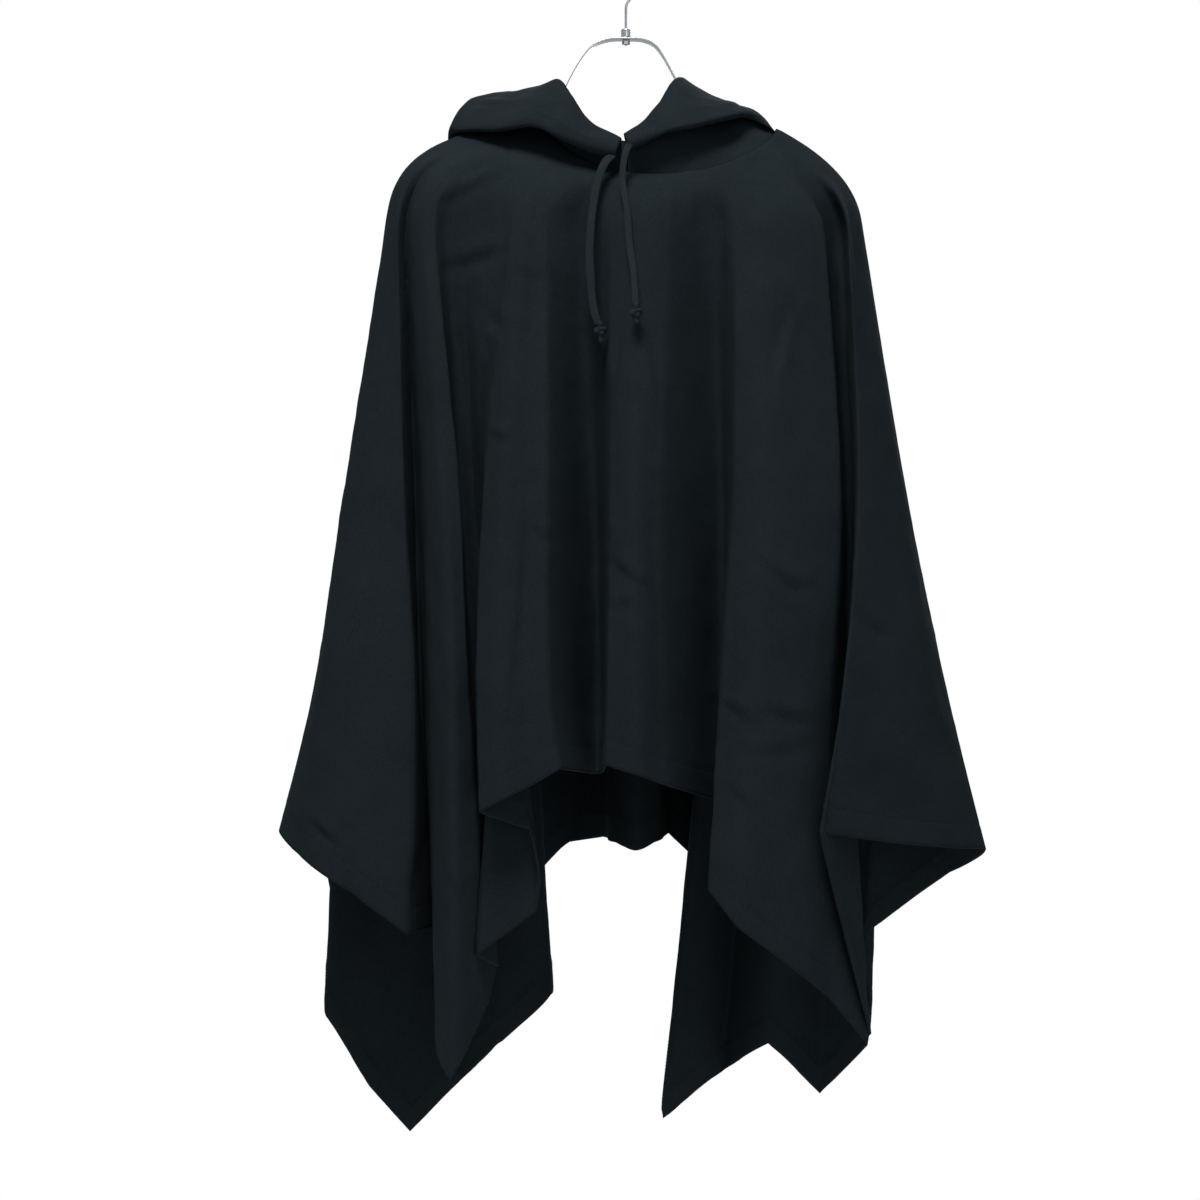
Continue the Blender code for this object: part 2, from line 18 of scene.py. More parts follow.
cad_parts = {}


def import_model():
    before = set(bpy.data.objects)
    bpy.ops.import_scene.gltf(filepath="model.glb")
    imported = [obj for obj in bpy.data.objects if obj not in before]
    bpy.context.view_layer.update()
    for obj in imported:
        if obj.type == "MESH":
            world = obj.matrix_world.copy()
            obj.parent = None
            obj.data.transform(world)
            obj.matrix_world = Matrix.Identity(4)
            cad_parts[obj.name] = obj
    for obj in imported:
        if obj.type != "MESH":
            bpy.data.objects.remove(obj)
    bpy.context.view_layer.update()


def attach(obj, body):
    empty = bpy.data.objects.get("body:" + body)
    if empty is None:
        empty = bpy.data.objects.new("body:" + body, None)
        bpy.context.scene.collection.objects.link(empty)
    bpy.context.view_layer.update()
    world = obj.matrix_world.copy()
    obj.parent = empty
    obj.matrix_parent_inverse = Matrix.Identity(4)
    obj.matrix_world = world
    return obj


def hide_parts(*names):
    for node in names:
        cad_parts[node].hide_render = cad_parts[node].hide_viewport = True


Pair = tuple[float, float]
Triple = tuple[float, float, float]
Path = tuple[np.ndarray, np.ndarray]        # points and outward directions
Piece = bpy.types.Object
Socket = bpy.types.NodeSocket

LOG = logging.getLogger("cloak")
MM = 0.001
BODY = "root"

# The cloth's make-up, in millimetres
WALL = 1.6                 # one layer of felted wool
HEM_WALL = 2.2             # the same where the hem is turned up
HEM_WIDTH = 27.0           # of the turned hem
HEM_STITCH = 25.0          # from the edge to the hem's stitching
CASING_STITCH = 22.0       # from the face edge to the casing's stitching
SEAM_GAP = 0.2             # between the two cloths of a seam
HOOD_TUCK = (2.1, 3.0)     # in from the neck edge and down, of the hood's base

# Form of a crease across its route
CREASE_STRENGTH = 0.6      # share of the rise in the table
CREASE_FADE = 1.2          # power by which it fades to its ends
RIDGE_LEE = 0.7            # width of the ridge on the side of its trough, in widths of the crease
TROUGH_PLACE = 1.25        # the trough's distance from the route, in the same
TROUGH_WIDTH = 0.75        # and its width

EDGE_BULGE = 0.35          # of the wall, by which the middle of a cut edge stands out
DOME_TURNS = (25, 50, 75)  # degrees, of the rings in the domed end of a sweep

# Levels at which the fold lines are placed
CHEST_Z = -272.0
WAIST_Z = -542.0
LOW_Z = -742.0

# Neck seam, an oval that dips at the front
NECK_X = 30.0
NECK_HALF_WIDTH = 120.0
NECK_FRONT_DEPTH = 72.0
NECK_BACK_DEPTH = 66.0
NECK_LEFT_Z = -154.0
NECK_RIGHT_Z = -170.0
NECK_FRONT_Z = -226.0
NECK_BACK_Z = -186.0
NECK_DIP_POWER = 1.3

# Shoulders: how the cloth leaves the neck and turns down over the arm of the hanger
YOKE_RUN = 0.57
YOKE_SLOPES = (0.30, 0.50)      # fall over run of the left and the right shoulder
YOKE_TURNS = (0.75, 0.42)       # share of the fall in which each turns down


class Panel(Enum):
    """The four cut cloths of the cloak."""

    FRONT = "front_panel"
    BACK = "back_panel"
    HOOD_LEFT = "hood_left"
    HOOD_RIGHT = "hood_right"


class Side(Enum):
    """The wearer's front seen in the picture: left and right as they appear there."""

    LEFT = "left"
    RIGHT = "right"


class FoldLine(NamedTuple):
    """A line down the cloth, from the neck seam to the hem: x and y at three levels, x, y, z at the hem."""

    name: str
    chest: Pair
    waist: Pair
    low: Pair
    hem: Triple


class HoodProfile(NamedTuple):
    """A section of the hood: its angle round the neck, then points from the neck seam to the face edge."""

    name: str
    angle: float
    stand: Triple
    rim: Triple
    lay: Triple
    hang: Triple
    tuck: Triple
    edge: Triple


class Unevenness(NamedTuple):
    """One layer of a cloth's unevenness, in millimetres."""

    amount: float
    from_neck: float        # in which it grows to its amount
    from_seam: float        # the same from a seam
    hem_share: float        # of its amount that is left at the hem
    across: float           # its length across the cloth
    along: float            # and down it
    shift: float            # of its seed


class Crease(NamedTuple):
    """A soft ridge, or a trough if its rise is negative, along a route of x and z on one cloth.

    The lee is the share of a trough beside it, on the left of a route that runs down.
    """

    width: float
    rise: float
    lee: float
    route: tuple[Pair, ...]


FRONT_FOLDS = tuple(FoldLine(*row) for row in (
    ("seam_left", (-242, 0), (-283, 0), (-316, 0), (-348, 0, -871)),
    ("sleeve_a", (-238, -24), (-278, -40), (-304, -48), (-325, -50, -891)),
    ("sleeve_b", (-230, -40), (-242, -68), (-252, -88), (-267, -92, -926)),
    ("sleeve_edge", (-227, -52), (-218, -70), (-207, -92), (-214, -96, -965)),
    ("groove_a", (-220, -40), (-210, -32), (-204, -36), (-188, -30, -964)),
    ("fold1_left", (-210, -64), (-194, -92), (-189, -98), (-185, -96, -1080)),
    ("fold1_crest", (-201, -76), (-179, -112), (-172, -122), (-172, -118, -1103)),
    ("fold1_edge", (-190, -79), (-163, -108), (-153, -113), (-136, -88, -1036)),
    ("groove_b", (-177, -69), (-160, -52), (-146, -70), (-128, -70, -1000)),
    ("tuck_left", (-161, -70), (-150, -58), (-134, -88), (-147, -108, -985)),
    ("tuck_right", (-138, -77), (-138, -84), (-104, -108), (-88, -112, -941)),
    ("tuck_turn", (-122, -86), (-140, -98), (-118, -120), (-95, -124, -862)),
    ("fold2_edge", (-110, -97), (-141, -112), (-145, -134), (-143, -142, -844)),
    ("fold2_crest", (-99, -101), (-119, -132), (-122, -150), (-119, -156, -831)),
    ("fold2_dip", (-90, -99), (-97, -127), (-98, -143), (-94, -149, -819)),
    ("fold2_right", (-79, -97), (-79, -130), (-76, -146), (-65, -150, -802)),
    ("groove_c", (-46, -85), (-32, -58), (-28, -52), (-30, -55, -812)),
    ("middle_left", (-16, -98), (-18, -126), (-21, -142), (-22, -146, -799)),
    ("middle_crest", (10, -105), (5, -144), (7, -157), (7, -158, -807)),
    ("middle_right", (40, -100), (32, -130), (34, -136), (38, -138, -819)),
    ("groove_d", (84, -78), (92, -58), (92, -52), (90, -56, -838)),
    ("fold3_edge", (106, -96), (101, -120), (87, -132), (76, -134, -919)),
    ("fold3_crest", (132, -97), (128, -134), (117, -150), (104, -152, -953)),
    ("fold3_face", (162, -86), (168, -122), (164, -136), (168, -136, -1002)),
    ("fold3_turn", (191, -70), (205, -97), (195, -110), (194, -111, -1024)),
    ("pleat_back", (199, -30), (214, -48), (216, -62), (232, -84, -1071)),
    ("pleat_middle", (210, -26), (222, -50), (216, -84), (208, -112, -968)),
    ("cuff_edge", (217, -58), (224, -92), (204, -128), (183, -138, -864)),
    ("cuff_face", (222, -36), (249, -70), (258, -86), (265, -88, -878)),
    ("cuff_outer", (230, -22), (272, -38), (304, -42), (324, -42, -886)),
    ("seam_right", (236, 0), (281, 0), (322, 0), (359, 0, -890)),
))

# Fold lines with a pressed edge, by how crisp each is; the others are rounded
CRISP = {
    "sleeve_edge": 0.6, "groove_a": 0.3, "fold1_left": 0.5, "fold1_edge": 0.9, "tuck_left": 0.8,
    "tuck_right": 0.8, "fold2_edge": 0.9, "fold2_dip": 0.4, "fold2_right": 0.95, "middle_left": 0.95,
    "middle_right": 0.95, "fold3_edge": 0.8, "fold3_turn": 0.8, "cuff_edge": 0.4, "cuff_outer": 0.3,
    "flap_tip": 0.6, "fold5_crest": 0.6, "corner_back_r": 0.7, "fold6_right": 0.6, "fold6_left": 0.6,
    "fold7_right": 0.5, "fold7_left": 0.7, "side_turn": 0.6, "fold8_crest": 0.5, "corner_back_l": 0.6,
    "fold9_crest": 0.4,
}
ROUNDED = 0.0

BACK_FOLDS = tuple(FoldLine(*row) for row in (
    ("seam_right", (236, 0), (281, 0), (322, 0), (359, 0, -890)),
    ("cuff_back", (235, 22), (277, 44), (315, 56), (330, 60, -919)),
    ("groove_g", (227, 38), (260, 50), (264, 50), (246, 52, -978)),
    ("flap_right", (217, 50), (250, 76), (254, 84), (247, 72, -1098)),
    ("flap_tip", (203, 62), (224, 98), (220, 118), (201, 112, -1153)),
    ("groove_h", (184, 70), (190, 74), (173, 68), (146, 84, -1097)),
    ("fold5_crest", (156, 80), (160, 118), (138, 138), (100, 134, -1134)),
    ("corner_back_r", (128, 84), (119, 80), (87, 62), (37, 56, -1169)),
    ("fold6_right", (101, 89), (98, 112), (80, 124), (60, 120, -1008)),
    ("fold6_crest", (77, 91), (76, 134), (74, 160), (74, 160, -914)),
    ("fold6_left", (54, 90), (50, 116), (46, 132), (44, 138, -885)),
    ("middle_back_r", (31, 87), (30, 78), (27, 56), (27, 54, -888)),
    ("middle_back", (10, 85), (10, 62), (9, 32), (9, 26, -894)),
    ("middle_back_l", (-10, 87), (-11, 78), (-10, 56), (-10, 54, -888)),
    ("fold7_right", (-33, 90), (-31, 118), (-27, 134), (-23, 140, -889)),
    ("fold7_crest", (-58, 91), (-54, 132), (-54, 156), (-59, 160, -896)),
    ("fold7_left", (-81, 89), (-79, 112), (-83, 128), (-93, 132, -926)),
    ("side_turn", (-102, 87), (-98, 88), (-94, 76), (-80, 70, -1026)),
    ("turn_right", (-114, 86), (-108, 74), (-97, 34), (-78, 18, -1039)),
    ("turn_left", (-127, 85), (-122, 72), (-120, 28), (-124, 14, -1084)),
    ("fold8_left", (-143, 83), (-142, 94), (-146, 62), (-145, 50, -1108)),
    ("fold8_crest", (-162, 79), (-166, 112), (-172, 104), (-169, 92, -1135)),
    ("corner_back_l", (-186, 72), (-190, 90), (-208, 88), (-222, 76, -1186)),
    ("fold9_crest", (-204, 64), (-217, 94), (-249, 80), (-264, 66, -1137)),
    ("fold9_left", (-218, 54), (-239, 62), (-284, 54), (-304, 50, -1065)),
    ("groove_j", (-229, 42), (-258, 62), (-290, 82), (-304, 92, -1003)),
    ("sleeve_back", (-238, 24), (-277, 42), (-311, 60), (-305, 58, -924)),
    ("seam_left", (-242, 0), (-283, 0), (-316, 0), (-348, 0, -871)),
))

HOOD_PROFILES = tuple(HoodProfile(*row) for row in (
    ("throat_left", 254.3, (-6, -72, -208), (-7, -78, -193), (-9, -87, -199),
     (-11, -89, -205), (-12, -87, -209), (-11, -80, -208)),
    ("collar_left", 236, (-38, -60, -192), (-37, -66, -176), (-39, -84, -192),
     (-37, -85, -201), (-36, -81, -205), (-34, -74, -203)),
    ("cheek_left", 222, (-60, -46, -172), (-56, -48, -146), (-63, -76, -171),
     (-66, -80, -187), (-65, -78, -191), (-62, -72, -190)),
    ("peak_left", 202, (-78, -26, -156), (-68, -22, -127), (-86, -60, -154),
     (-92, -71, -174), (-91, -71, -178), (-88, -65, -177)),
    ("shoulder_left", 180, (-90, -2, -140), (-78, 8, -127), (-114, -18, -143),
     (-128, -50, -174), (-127, -52, -179), (-123, -47, -179)),
    ("roll_left", 161, (-92, 22, -142), (-88, 30, -131), (-142, 10, -140),
     (-159, -20, -170), (-160, -22, -175), (-156, -16, -175)),
    ("wing_left", 142, (-84, 42, -150), (-98, 48, -133), (-158, 42, -138),
     (-179, 32, -171), (-178, 42, -176), (-164, 56, -160)),
    ("pouch_left", 120, (-42, 60, -170), (-56, 66, -156), (-116, 92, -213),
     (-144, 110, -260), (-150, 125, -256), (-126, 114, -162)),
    ("nape", 94, (17, 70, -180), (12, 77, -174), (8, 106, -300),
     (5, 126, -426), (5, 146, -424), (8, 130, -188)),
    ("pouch_right", 60, (78, 62, -167), (60, 69, -149), (106, 92, -222),
     (122, 110, -266), (128, 125, -264), (112, 120, -168)),
    ("wing_right", 28, (114, 44, -162), (84, 54, -139), (116, 50, -156),
     (144, 58, -184), (148, 68, -188), (130, 76, -166)),
    ("roll_right", 0, (124, 12, -157), (82, 38, -134), (112, 16, -149),
     (137, 3, -162), (144, -3, -171), (147, -7, -175)),
    ("shoulder_right", -18, (114, -14, -159), (70, 16, -130), (95, -14, -146),
     (117, -30, -156), (121, -34, -161), (120, -31, -165)),
    ("peak_right", -36, (98, -36, -182), (54, -14, -123), (74, -42, -148),
     (93, -57, -164), (96, -60, -168), (95, -57, -171)),
    ("cheek_right", -55, (74, -52, -186), (44, -40, -134), (55, -65, -155),
     (65, -77, -174), (67, -79, -178), (66, -75, -180)),
    ("jaw_right", -73, (50, -64, -196), (32, -58, -155), (35, -79, -170),
     (39, -87, -181), (41, -88, -185), (40, -84, -187)),
    ("collar_right", -92, (21, -70, -203), (15, -70, -177), (17, -85, -186),
     (18, -90, -191), (19, -89, -195), (18, -85, -196)),
    ("throat_right", -105.0, (1, -72, -208), (-3, -77, -189), (-1, -87, -195),
     (1, -90, -199), (2, -88, -202), (1, -84, -203)),
))
NAPE_INDEX = [profile.name for profile in HOOD_PROFILES].index("nape")

# Ties, from the casing at the throat down to the knot
TIE_LEFT_ROUTE = ((-15, -86, -210), (-22, -92, -218), (-29, -98, -236), (-35, -103, -272),
                  (-37, -106, -316), (-33, -110, -362), (-29, -112, -376))
TIE_RIGHT_ROUTE = ((4.1, -88.5, -196.1), (-0.8, -91.6, -204.7), (-4, -95, -218), (-5, -99, -238),
                   (-1, -108, -266), (1, -114, -296), (5, -124, -328), (7, -132, -360))

# Strip of the hanger between the two shoulder seams, x and z of its middle
STEM_X = -1.0
ARCH_TOP_Z = -80.5
STRIP_THICKNESS = 2.0
ARCH_ROUTE = ((-80, -160), (-68, -146), (-59, -126), (-46, -103), (-33, -87.5), (-18, -82),
              (STEM_X, ARCH_TOP_Z - STRIP_THICKNESS / 2), (16, -82.5), (28, -88), (38, -102),
              (48, -121), (60, -143), (78, -158), (100, -168), (124, -176))

# Creases that the folds leave out, by cloth
CREASES = {panel: tuple(Crease(*row) for row in rows) for panel, rows in {
    Panel.FRONT: (
        # Upper ends of the folds
        (10, 2.6, 0.7, ((-166, -500), (-176, -420), (-186, -340), (-192, -280), (-195, -240))),
        (9, 2.4, 0.7, ((-79, -440), (-79, -340), (-82, -270), (-88, -218))),
        (9, 2.4, 0.6, ((-106, -220), (-110, -290), (-124, -390), (-138, -500))),
        (8, 3.0, 0.8, ((30, -500), (22, -440), (12, -380), (6, -334))),
        (8, 2.4, 0.7, ((6, -340), (-2, -400), (-12, -460), (-18, -540))),
        (9, 2.4, 0.7, ((86, -214), (98, -262), (104, -330), (102, -420))),
        (9, 3.0, 0.9, ((208, -420), (202, -340), (196, -280), (190, -226))),
        # Small creases of the chest
        (8, 3.2, 0.8, ((-196, -252), (-172, -242), (-142, -226), (-118, -214))),
        (8, 2.8, 0.8, ((-186, -222), (-164, -212), (-138, -206))),
        (9, 4.0, 0.9, ((-190, -310), (-168, -306), (-140, -298), (-112, -292))),
        (7, 2.2, 0.7, ((-112, -316), (-96, -322), (-80, -327))),
        (7, -3.4, 0.5, ((-137, -366), (-129, -373), (-122, -386))),
        (10, 2.8, 0.5, ((26, -226), (30, -270), (27, -316), (34, -352))),
        (9, 2.4, 0.6, ((52, -214), (62, -240), (60, -282))),
        (12, 2.6, 0.3, ((-24, -320), (-30, -360), (-26, -410), (-36, -450))),
        # Left fold and the strip
        (8, 2.6, 0.8, ((-124, -760), (-114, -700), (-108, -640), (-104, -560), (-100, -480))),
        (7, 2.6, 0.8, ((-134, -472), (-122, -480), (-106, -478))),
        (7, 2.4, 0.8, ((-88, -566), (-80, -576), (-74, -574))),
        # Right panel
        (7, 3.8, 0.9, ((144, -300), (150, -330), (164, -356), (176, -380), (190, -404))),
        (7, 3.4, 0.9, ((182, -336), (166, -362), (154, -390), (146, -426), (144, -470))),
        (7, 4.0, 0.9, ((122, -592), (138, -606), (158, -622), (186, -620))),
        (7, 3.2, 0.9, ((84, -730), (102, -740), (126, -756))),
        (7, 3.6, 0.9, ((124, -738), (150, -746), (184, -752))),
        (7, 3.0, 0.8, ((96, -776), (124, -780), (158, -776), (184, -768))),
        (7, 2.6, 0.8, ((92, -812), (112, -826), (120, -844))),
        (9, 2.8, 0.7, ((268, -600), (276, -660), (290, -720), (316, -780), (334, -850))),
        (8, 2.8, 0.7, ((228, -640), (240, -664), (258, -668))),
        # Middle ridge
        (8, 3.0, 0.7, ((-24, -592), (-8, -604), (10, -618), (26, -626))),
        (8, 2.6, 0.7, ((-24, -650), (-10, -640), (8, -634))),
        (8, 2.4, 0.6, ((-22, -560), (-12, -580), (-18, -600))),
        # Left lobe
        (7, 4.0, 0.9, ((-312, -848), (-298, -860), (-274, -880))),
        (7, -3.6, 0.6, ((-274, -872), (-256, -858), (-230, -838))),
        (9, 3.6, 0.9, ((-226, -936), (-212, -896), (-203, -850), (-200, -796))),
        (10, 3.0, 0.7, ((-282, -640), (-290, -690), (-304, -740), (-326, -800))),
        (8, 2.6, 0.8, ((-190, -690), (-184, -740), (-182, -800))),
        (8, 2.4, 0.7, ((-172, -900), (-160, -912), (-146, -910))),
    ),
    Panel.BACK: (
        (10, 3.2, 0.8, ((-96, -206), (-140, -246), (-166, -300))),
        (10, 3.2, 0.8, ((132, -212), (164, -250), (184, -304))),
        (8, 3.4, 0.8, ((176, -372), (158, -396), (150, -430))),
        (8, 3.2, 0.8, ((-152, -398), (-178, -420), (-200, -452))),
        (7, 3.6, 0.8, ((60, -604), (82, -618), (104, -614))),
        (7, 3.0, 0.8, ((-46, -664), (-66, -676), (-84, -672))),
        (8, 3.4, 0.8, ((-222, -830), (-246, -846), (-268, -844))),
        (7, 3.0, 0.8, ((196, -760), (214, -776), (240, -780))),
        (7, 3.0, 0.8, ((100, -842), (122, -852), (146, -846))),
        (7, 2.8, 0.8, ((-160, -960), (-182, -974), (-204, -972))),
        (10, 2.8, 0.7, ((-262, -560), (-276, -620), (-292, -690))),
        (10, 2.8, 0.7, ((250, -520), (262, -600), (284, -680))),
    ),
    Panel.HOOD_LEFT: (
        (6, 2.4, 0.8, ((-148, -130), (-134, -138), (-116, -142), (-98, -138))),
        (5, 2.0, 0.8, ((-152, -146), (-138, -151), (-122, -150))),
        (8, 2.2, 0.8, ((-96, -250), (-60, -292), (-28, -352))),
        (8, 2.0, 0.8, ((-60, -206), (-36, -236), (-8, -252))),
    ),
    Panel.HOOD_RIGHT: (
        (8, 2.2, 0.8, ((100, -242), (72, -288), (40, -346))),
        (8, 2.0, 0.8, ((76, -206), (52, -238), (24, -254))),
        (6, 2.0, 0.8, ((126, -146), (112, -152), (98, -160))),
    ),
}.items()}


def spline(points: np.ndarray, places: np.ndarray) -> np.ndarray:
    """Evaluate a centripetal spline through rows of points.

    Args:
        points: n stops by m lines by 3.
        places: k places along the stops, as fractional indices.

    Returns:
        k by m by 3 points.
    """
    last = len(points) - 1
    start = np.clip(places.astype(int), 0, last - 1)
    share = (places - start)[:, None, None]
    before = np.concatenate([2 * points[:1] - points[1:2], points, 2 * points[-1:] - points[-2:-1]])
    p0, p1, p2, p3 = (before[start + shift] for shift in range(4))

    def knot(near: np.ndarray, far: np.ndarray) -> np.ndarray:
        """Return the length of one interval of the spline's parameter."""
        return np.sqrt(np.maximum(np.linalg.norm(far - near, axis=-1, keepdims=True), 1e-6))

    t1 = knot(p0, p1)
    t2 = t1 + knot(p1, p2)
    t3 = t2 + knot(p2, p3)
    t = t1 + (t2 - t1) * share
    a1 = p0 * ((t1 - t) / t1) + p1 * (t / t1)
    a2 = p1 * ((t2 - t) / (t2 - t1)) + p2 * ((t - t1) / (t2 - t1))
    a3 = p2 * ((t3 - t) / (t3 - t2)) + p3 * ((t - t2) / (t3 - t2))
    b1 = a1 * ((t2 - t) / t2) + a2 * (t / t2)
    b2 = a2 * ((t3 - t) / (t3 - t1)) + a3 * ((t - t1) / (t3 - t1))
    return b1 * ((t2 - t) / (t2 - t1)) + b2 * ((t - t1) / (t2 - t1))


def smooth_run(start: np.ndarray, leave: np.ndarray, end: np.ndarray, arrive: np.ndarray,
               t: np.ndarray) -> np.ndarray:
    """Run smoothly from a start to an end.

    Args:
        start: where it starts.
        leave: its slope there, over the whole run.
        end: where it ends.
        arrive: its slope there.
        t: how far along the run, from 0 to 1.

    Returns:
        The points at t.
    """
    return (start * (2 * t ** 3 - 3 * t ** 2 + 1) + leave * (t ** 3 - 2 * t ** 2 + t)
            + end * (3 * t ** 2 - 2 * t ** 3) + arrive * (t ** 3 - t ** 2))


def neck_points(angles: np.ndarray) -> np.ndarray:
    """Find points of the neck seam.

    Args:
        angles: degrees round the neck, from the right shoulder over the back.

    Returns:
        A point for each angle.
    """
    across, along = np.cos(np.radians(angles)), np.sin(np.radians(angles))
    back = along > 0
    depth = np.where(back, NECK_BACK_DEPTH, NECK_FRONT_DEPTH)
    end_z = np.where(back, NECK_BACK_Z, NECK_FRONT_Z)
    side_z = NECK_LEFT_Z + (NECK_RIGHT_Z - NECK_LEFT_Z) * (1 + across) / 2
    z = side_z + (end_z - side_z) * np.abs(along) ** NECK_DIP_POWER
    return np.stack([NECK_X + NECK_HALF_WIDTH * across, depth * along, z], axis=-1)


def lengths_along(points: np.ndarray, axis: int) -> np.ndarray:
    """Measure a grid's lines along one of its axes.

    Args:
        points: the grid's points.
        axis: the axis that the lines run along.

    Returns:
        The length of each line up to each point, from 0.
    """
    steps = np.linalg.norm(np.diff(points, axis=axis), axis=-1)
    start = np.zeros_like(np.take(steps, [0], axis=axis))
    return np.concatenate([start, np.cumsum(steps, axis=axis)], axis=axis)


def unit(vectors: np.ndarray) -> np.ndarray:
    """Return vectors of length one."""
    return vectors / np.maximum(np.linalg.norm(vectors, axis=-1, keepdims=True), 1e-9)


def grid_normals(points: np.ndarray) -> np.ndarray:
    """Find the outward normals of a cloth.

    Args:
        points: columns by levels by 3.

    Returns:
        A direction of length one for each point.
    """
    across = np.gradient(points, axis=0)
    down = np.gradient(points, axis=1)
    return unit(np.cross(down, across))


def linked(name: str, data: bpy.types.ID) -> Piece:
    """Link a new object for a mesh, a light or a camera to the scene.

    Args:
        name: the object's name.
        data: what it shows.

    Returns:
        The object.
    """
    made = bpy.data.objects.new(name, data)
    bpy.context.scene.collection.objects.link(made)
    return made


def realized(piece: Piece, name: str) -> Piece:
    """Turn a piece with modifiers into a plain mesh.

    Args:
        piece: the object whose modifiers are evaluated. It is removed.
        name: the name of the new object.

    Returns:
        The new object, with its place in its mesh.
    """
    graph = bpy.context.evaluated_depsgraph_get()
    mesh = bpy.data.meshes.new_from_object(piece.evaluated_get(graph))
    mesh.name = name
    bpy.data.objects.remove(piece, do_unlink=True)
    return linked(name, mesh)


class Nodes:
    """Short ways to add and join the nodes of one tree."""

    def __init__(self, tree: bpy.types.NodeTree) -> None:
        """Keep the tree that the nodes go in."""
        self.tree = tree

    def add(self, kind: str, **values: object) -> bpy.types.Node:
        """Add a node.

        Args:
            kind: the node's Blender type.
            values: its properties, or with a leading in_ the value of an input by name.

        Returns:
            The new node.
        """
        node = self.tree.nodes.new(kind)
        for key, value in values.items():
            if not key.startswith("in_"):
                setattr(node, key, value)
        self.fill(node, **{key[3:]: value for key, value in values.items() if key.startswith("in_")})
        return node

    @staticmethod
    def fill(node: bpy.types.Node, **values: object) -> None:
        """Set inputs of a node by name, with underscores for spaces."""
        for key, value in values.items():
            node.inputs[key.replace("_", " ")].default_value = value

    def join(self, source: Socket, target: Socket) -> None:
        """Link an output to an input."""
        self.tree.links.new(source, target)

    def math(self, operation: str, first: Socket, second: Socket | float) -> Socket:
        """Add a Math node.

        Args:
            operation: what it does.
            first: its first value.
            second: its second value, a socket or a number.

        Returns:
            Its result.
        """
        node = self.add("ShaderNodeMath", operation=operation)
        self.join(first, node.inputs[0])
        if isinstance(second, Socket):
            self.join(second, node.inputs[1])
        else:
            node.inputs[1].default_value = second
        return node.outputs[0]

    def blend(self, *parts: tuple[Socket, float]) -> Socket:
        """Add up two sockets, each times its share."""
        return self.math("ADD", *(self.math("MULTIPLY", source, share) for source, share in parts))

    def scaled(self, source: Socket, scale: Triple, turn: float = 0.0) -> Socket:
        """Scale coordinates and turn them about their third axis.

        Args:
            source: the coordinates.
            scale: the scale along each axis.
            turn: the turn in degrees.

        Returns:
            The new coordinates.
        """
        node = self.add("ShaderNodeMapping", in_Scale=scale, in_Rotation=(0.0, 0.0, math.radians(turn)))
        self.join(source, node.inputs["Vector"])
        return node.outputs["Vector"]

    def noise(self, where: Socket, scale: float, detail: float = 2.0, roughness: float = 0.5) -> Socket:
        """Add a Noise Texture.

        Args:
            where: the coordinates that it is read at.
            scale: its scale.
            detail: its detail.
            roughness: its roughness.

        Returns:
            Its factor.
        """
        node = self.add("ShaderNodeTexNoise", in_Scale=scale, in_Detail=detail, in_Roughness=roughness)
        self.join(where, node.inputs["Vector"])
        return node.outputs["Fac"]

    def ramp(self, source: Socket, stops: Sequence[tuple[float, Triple]]) -> Socket:
        """Add a Color Ramp.

        Args:
            source: what it is read at.
            stops: the place and the colour of each stop.

        Returns:
            Its colour.
        """
        node = self.add("ShaderNodeValToRGB")
        elements = node.color_ramp.elements
        while len(elements) < len(stops):
            elements.new(0.5)
        for element, (place, colour) in zip(elements, stops):
            element.position = place
            element.color = (*colour, 1.0)
        self.join(source, node.inputs["Fac"])
        return node.outputs["Color"]

    def colour(self, shader: bpy.types.Node, source: Socket, stops: Sequence[tuple[float, Triple]]) -> None:
        """Colour a shader by a ramp."""
        self.join(self.ramp(source, stops), shader.inputs["Base Color"])

    def rough(self, shader: bpy.types.Node, source: Socket, low: float, high: float) -> None:
        """Let a shader's roughness run from low to high with a source.

        Args:
            shader: the shader.
            source: a socket from 0 to 1.
            low: the roughness at 0.
            high: the roughness at 1.
        """
        node = self.add("ShaderNodeMapRange", in_To_Min=low, in_To_Max=high)
        self.join(source, node.inputs["Value"])
        self.join(node.outputs["Result"], shader.inputs["Roughness"])

    def bump(self, shader: bpy.types.Node, height: Socket, strength: float, distance: float) -> None:
        """Let a height tilt a shader's surface.

        Args:
            shader: the shader.
            height: the relief.
            strength: how strongly it shows.
            distance: how high it is at 1, in metres.
        """
        node = self.add("ShaderNodeBump", in_Strength=strength, in_Distance=distance)
        self.join(height, node.inputs["Height"])
        self.join(node.outputs["Normal"], shader.inputs["Normal"])


@dataclass(frozen=True)
class Finish:
    """A material that is built once and found again by its name."""

    name: str = "plain"

    def paint(self, nodes: Nodes, shader: bpy.types.Node) -> None:
        """Set the shader and the nodes before it."""
        raise NotImplementedError

    def material(self) -> bpy.types.Material:
        """Find the material, or build it.

        Returns:
            The material.
        """
        made = bpy.data.materials.get(self.name)
        if made is None:
            made = bpy.data.materials.new(self.name)
            made.use_nodes = True
            self.paint(Nodes(made.node_tree), made.node_tree.nodes["Principled BSDF"])
        return made


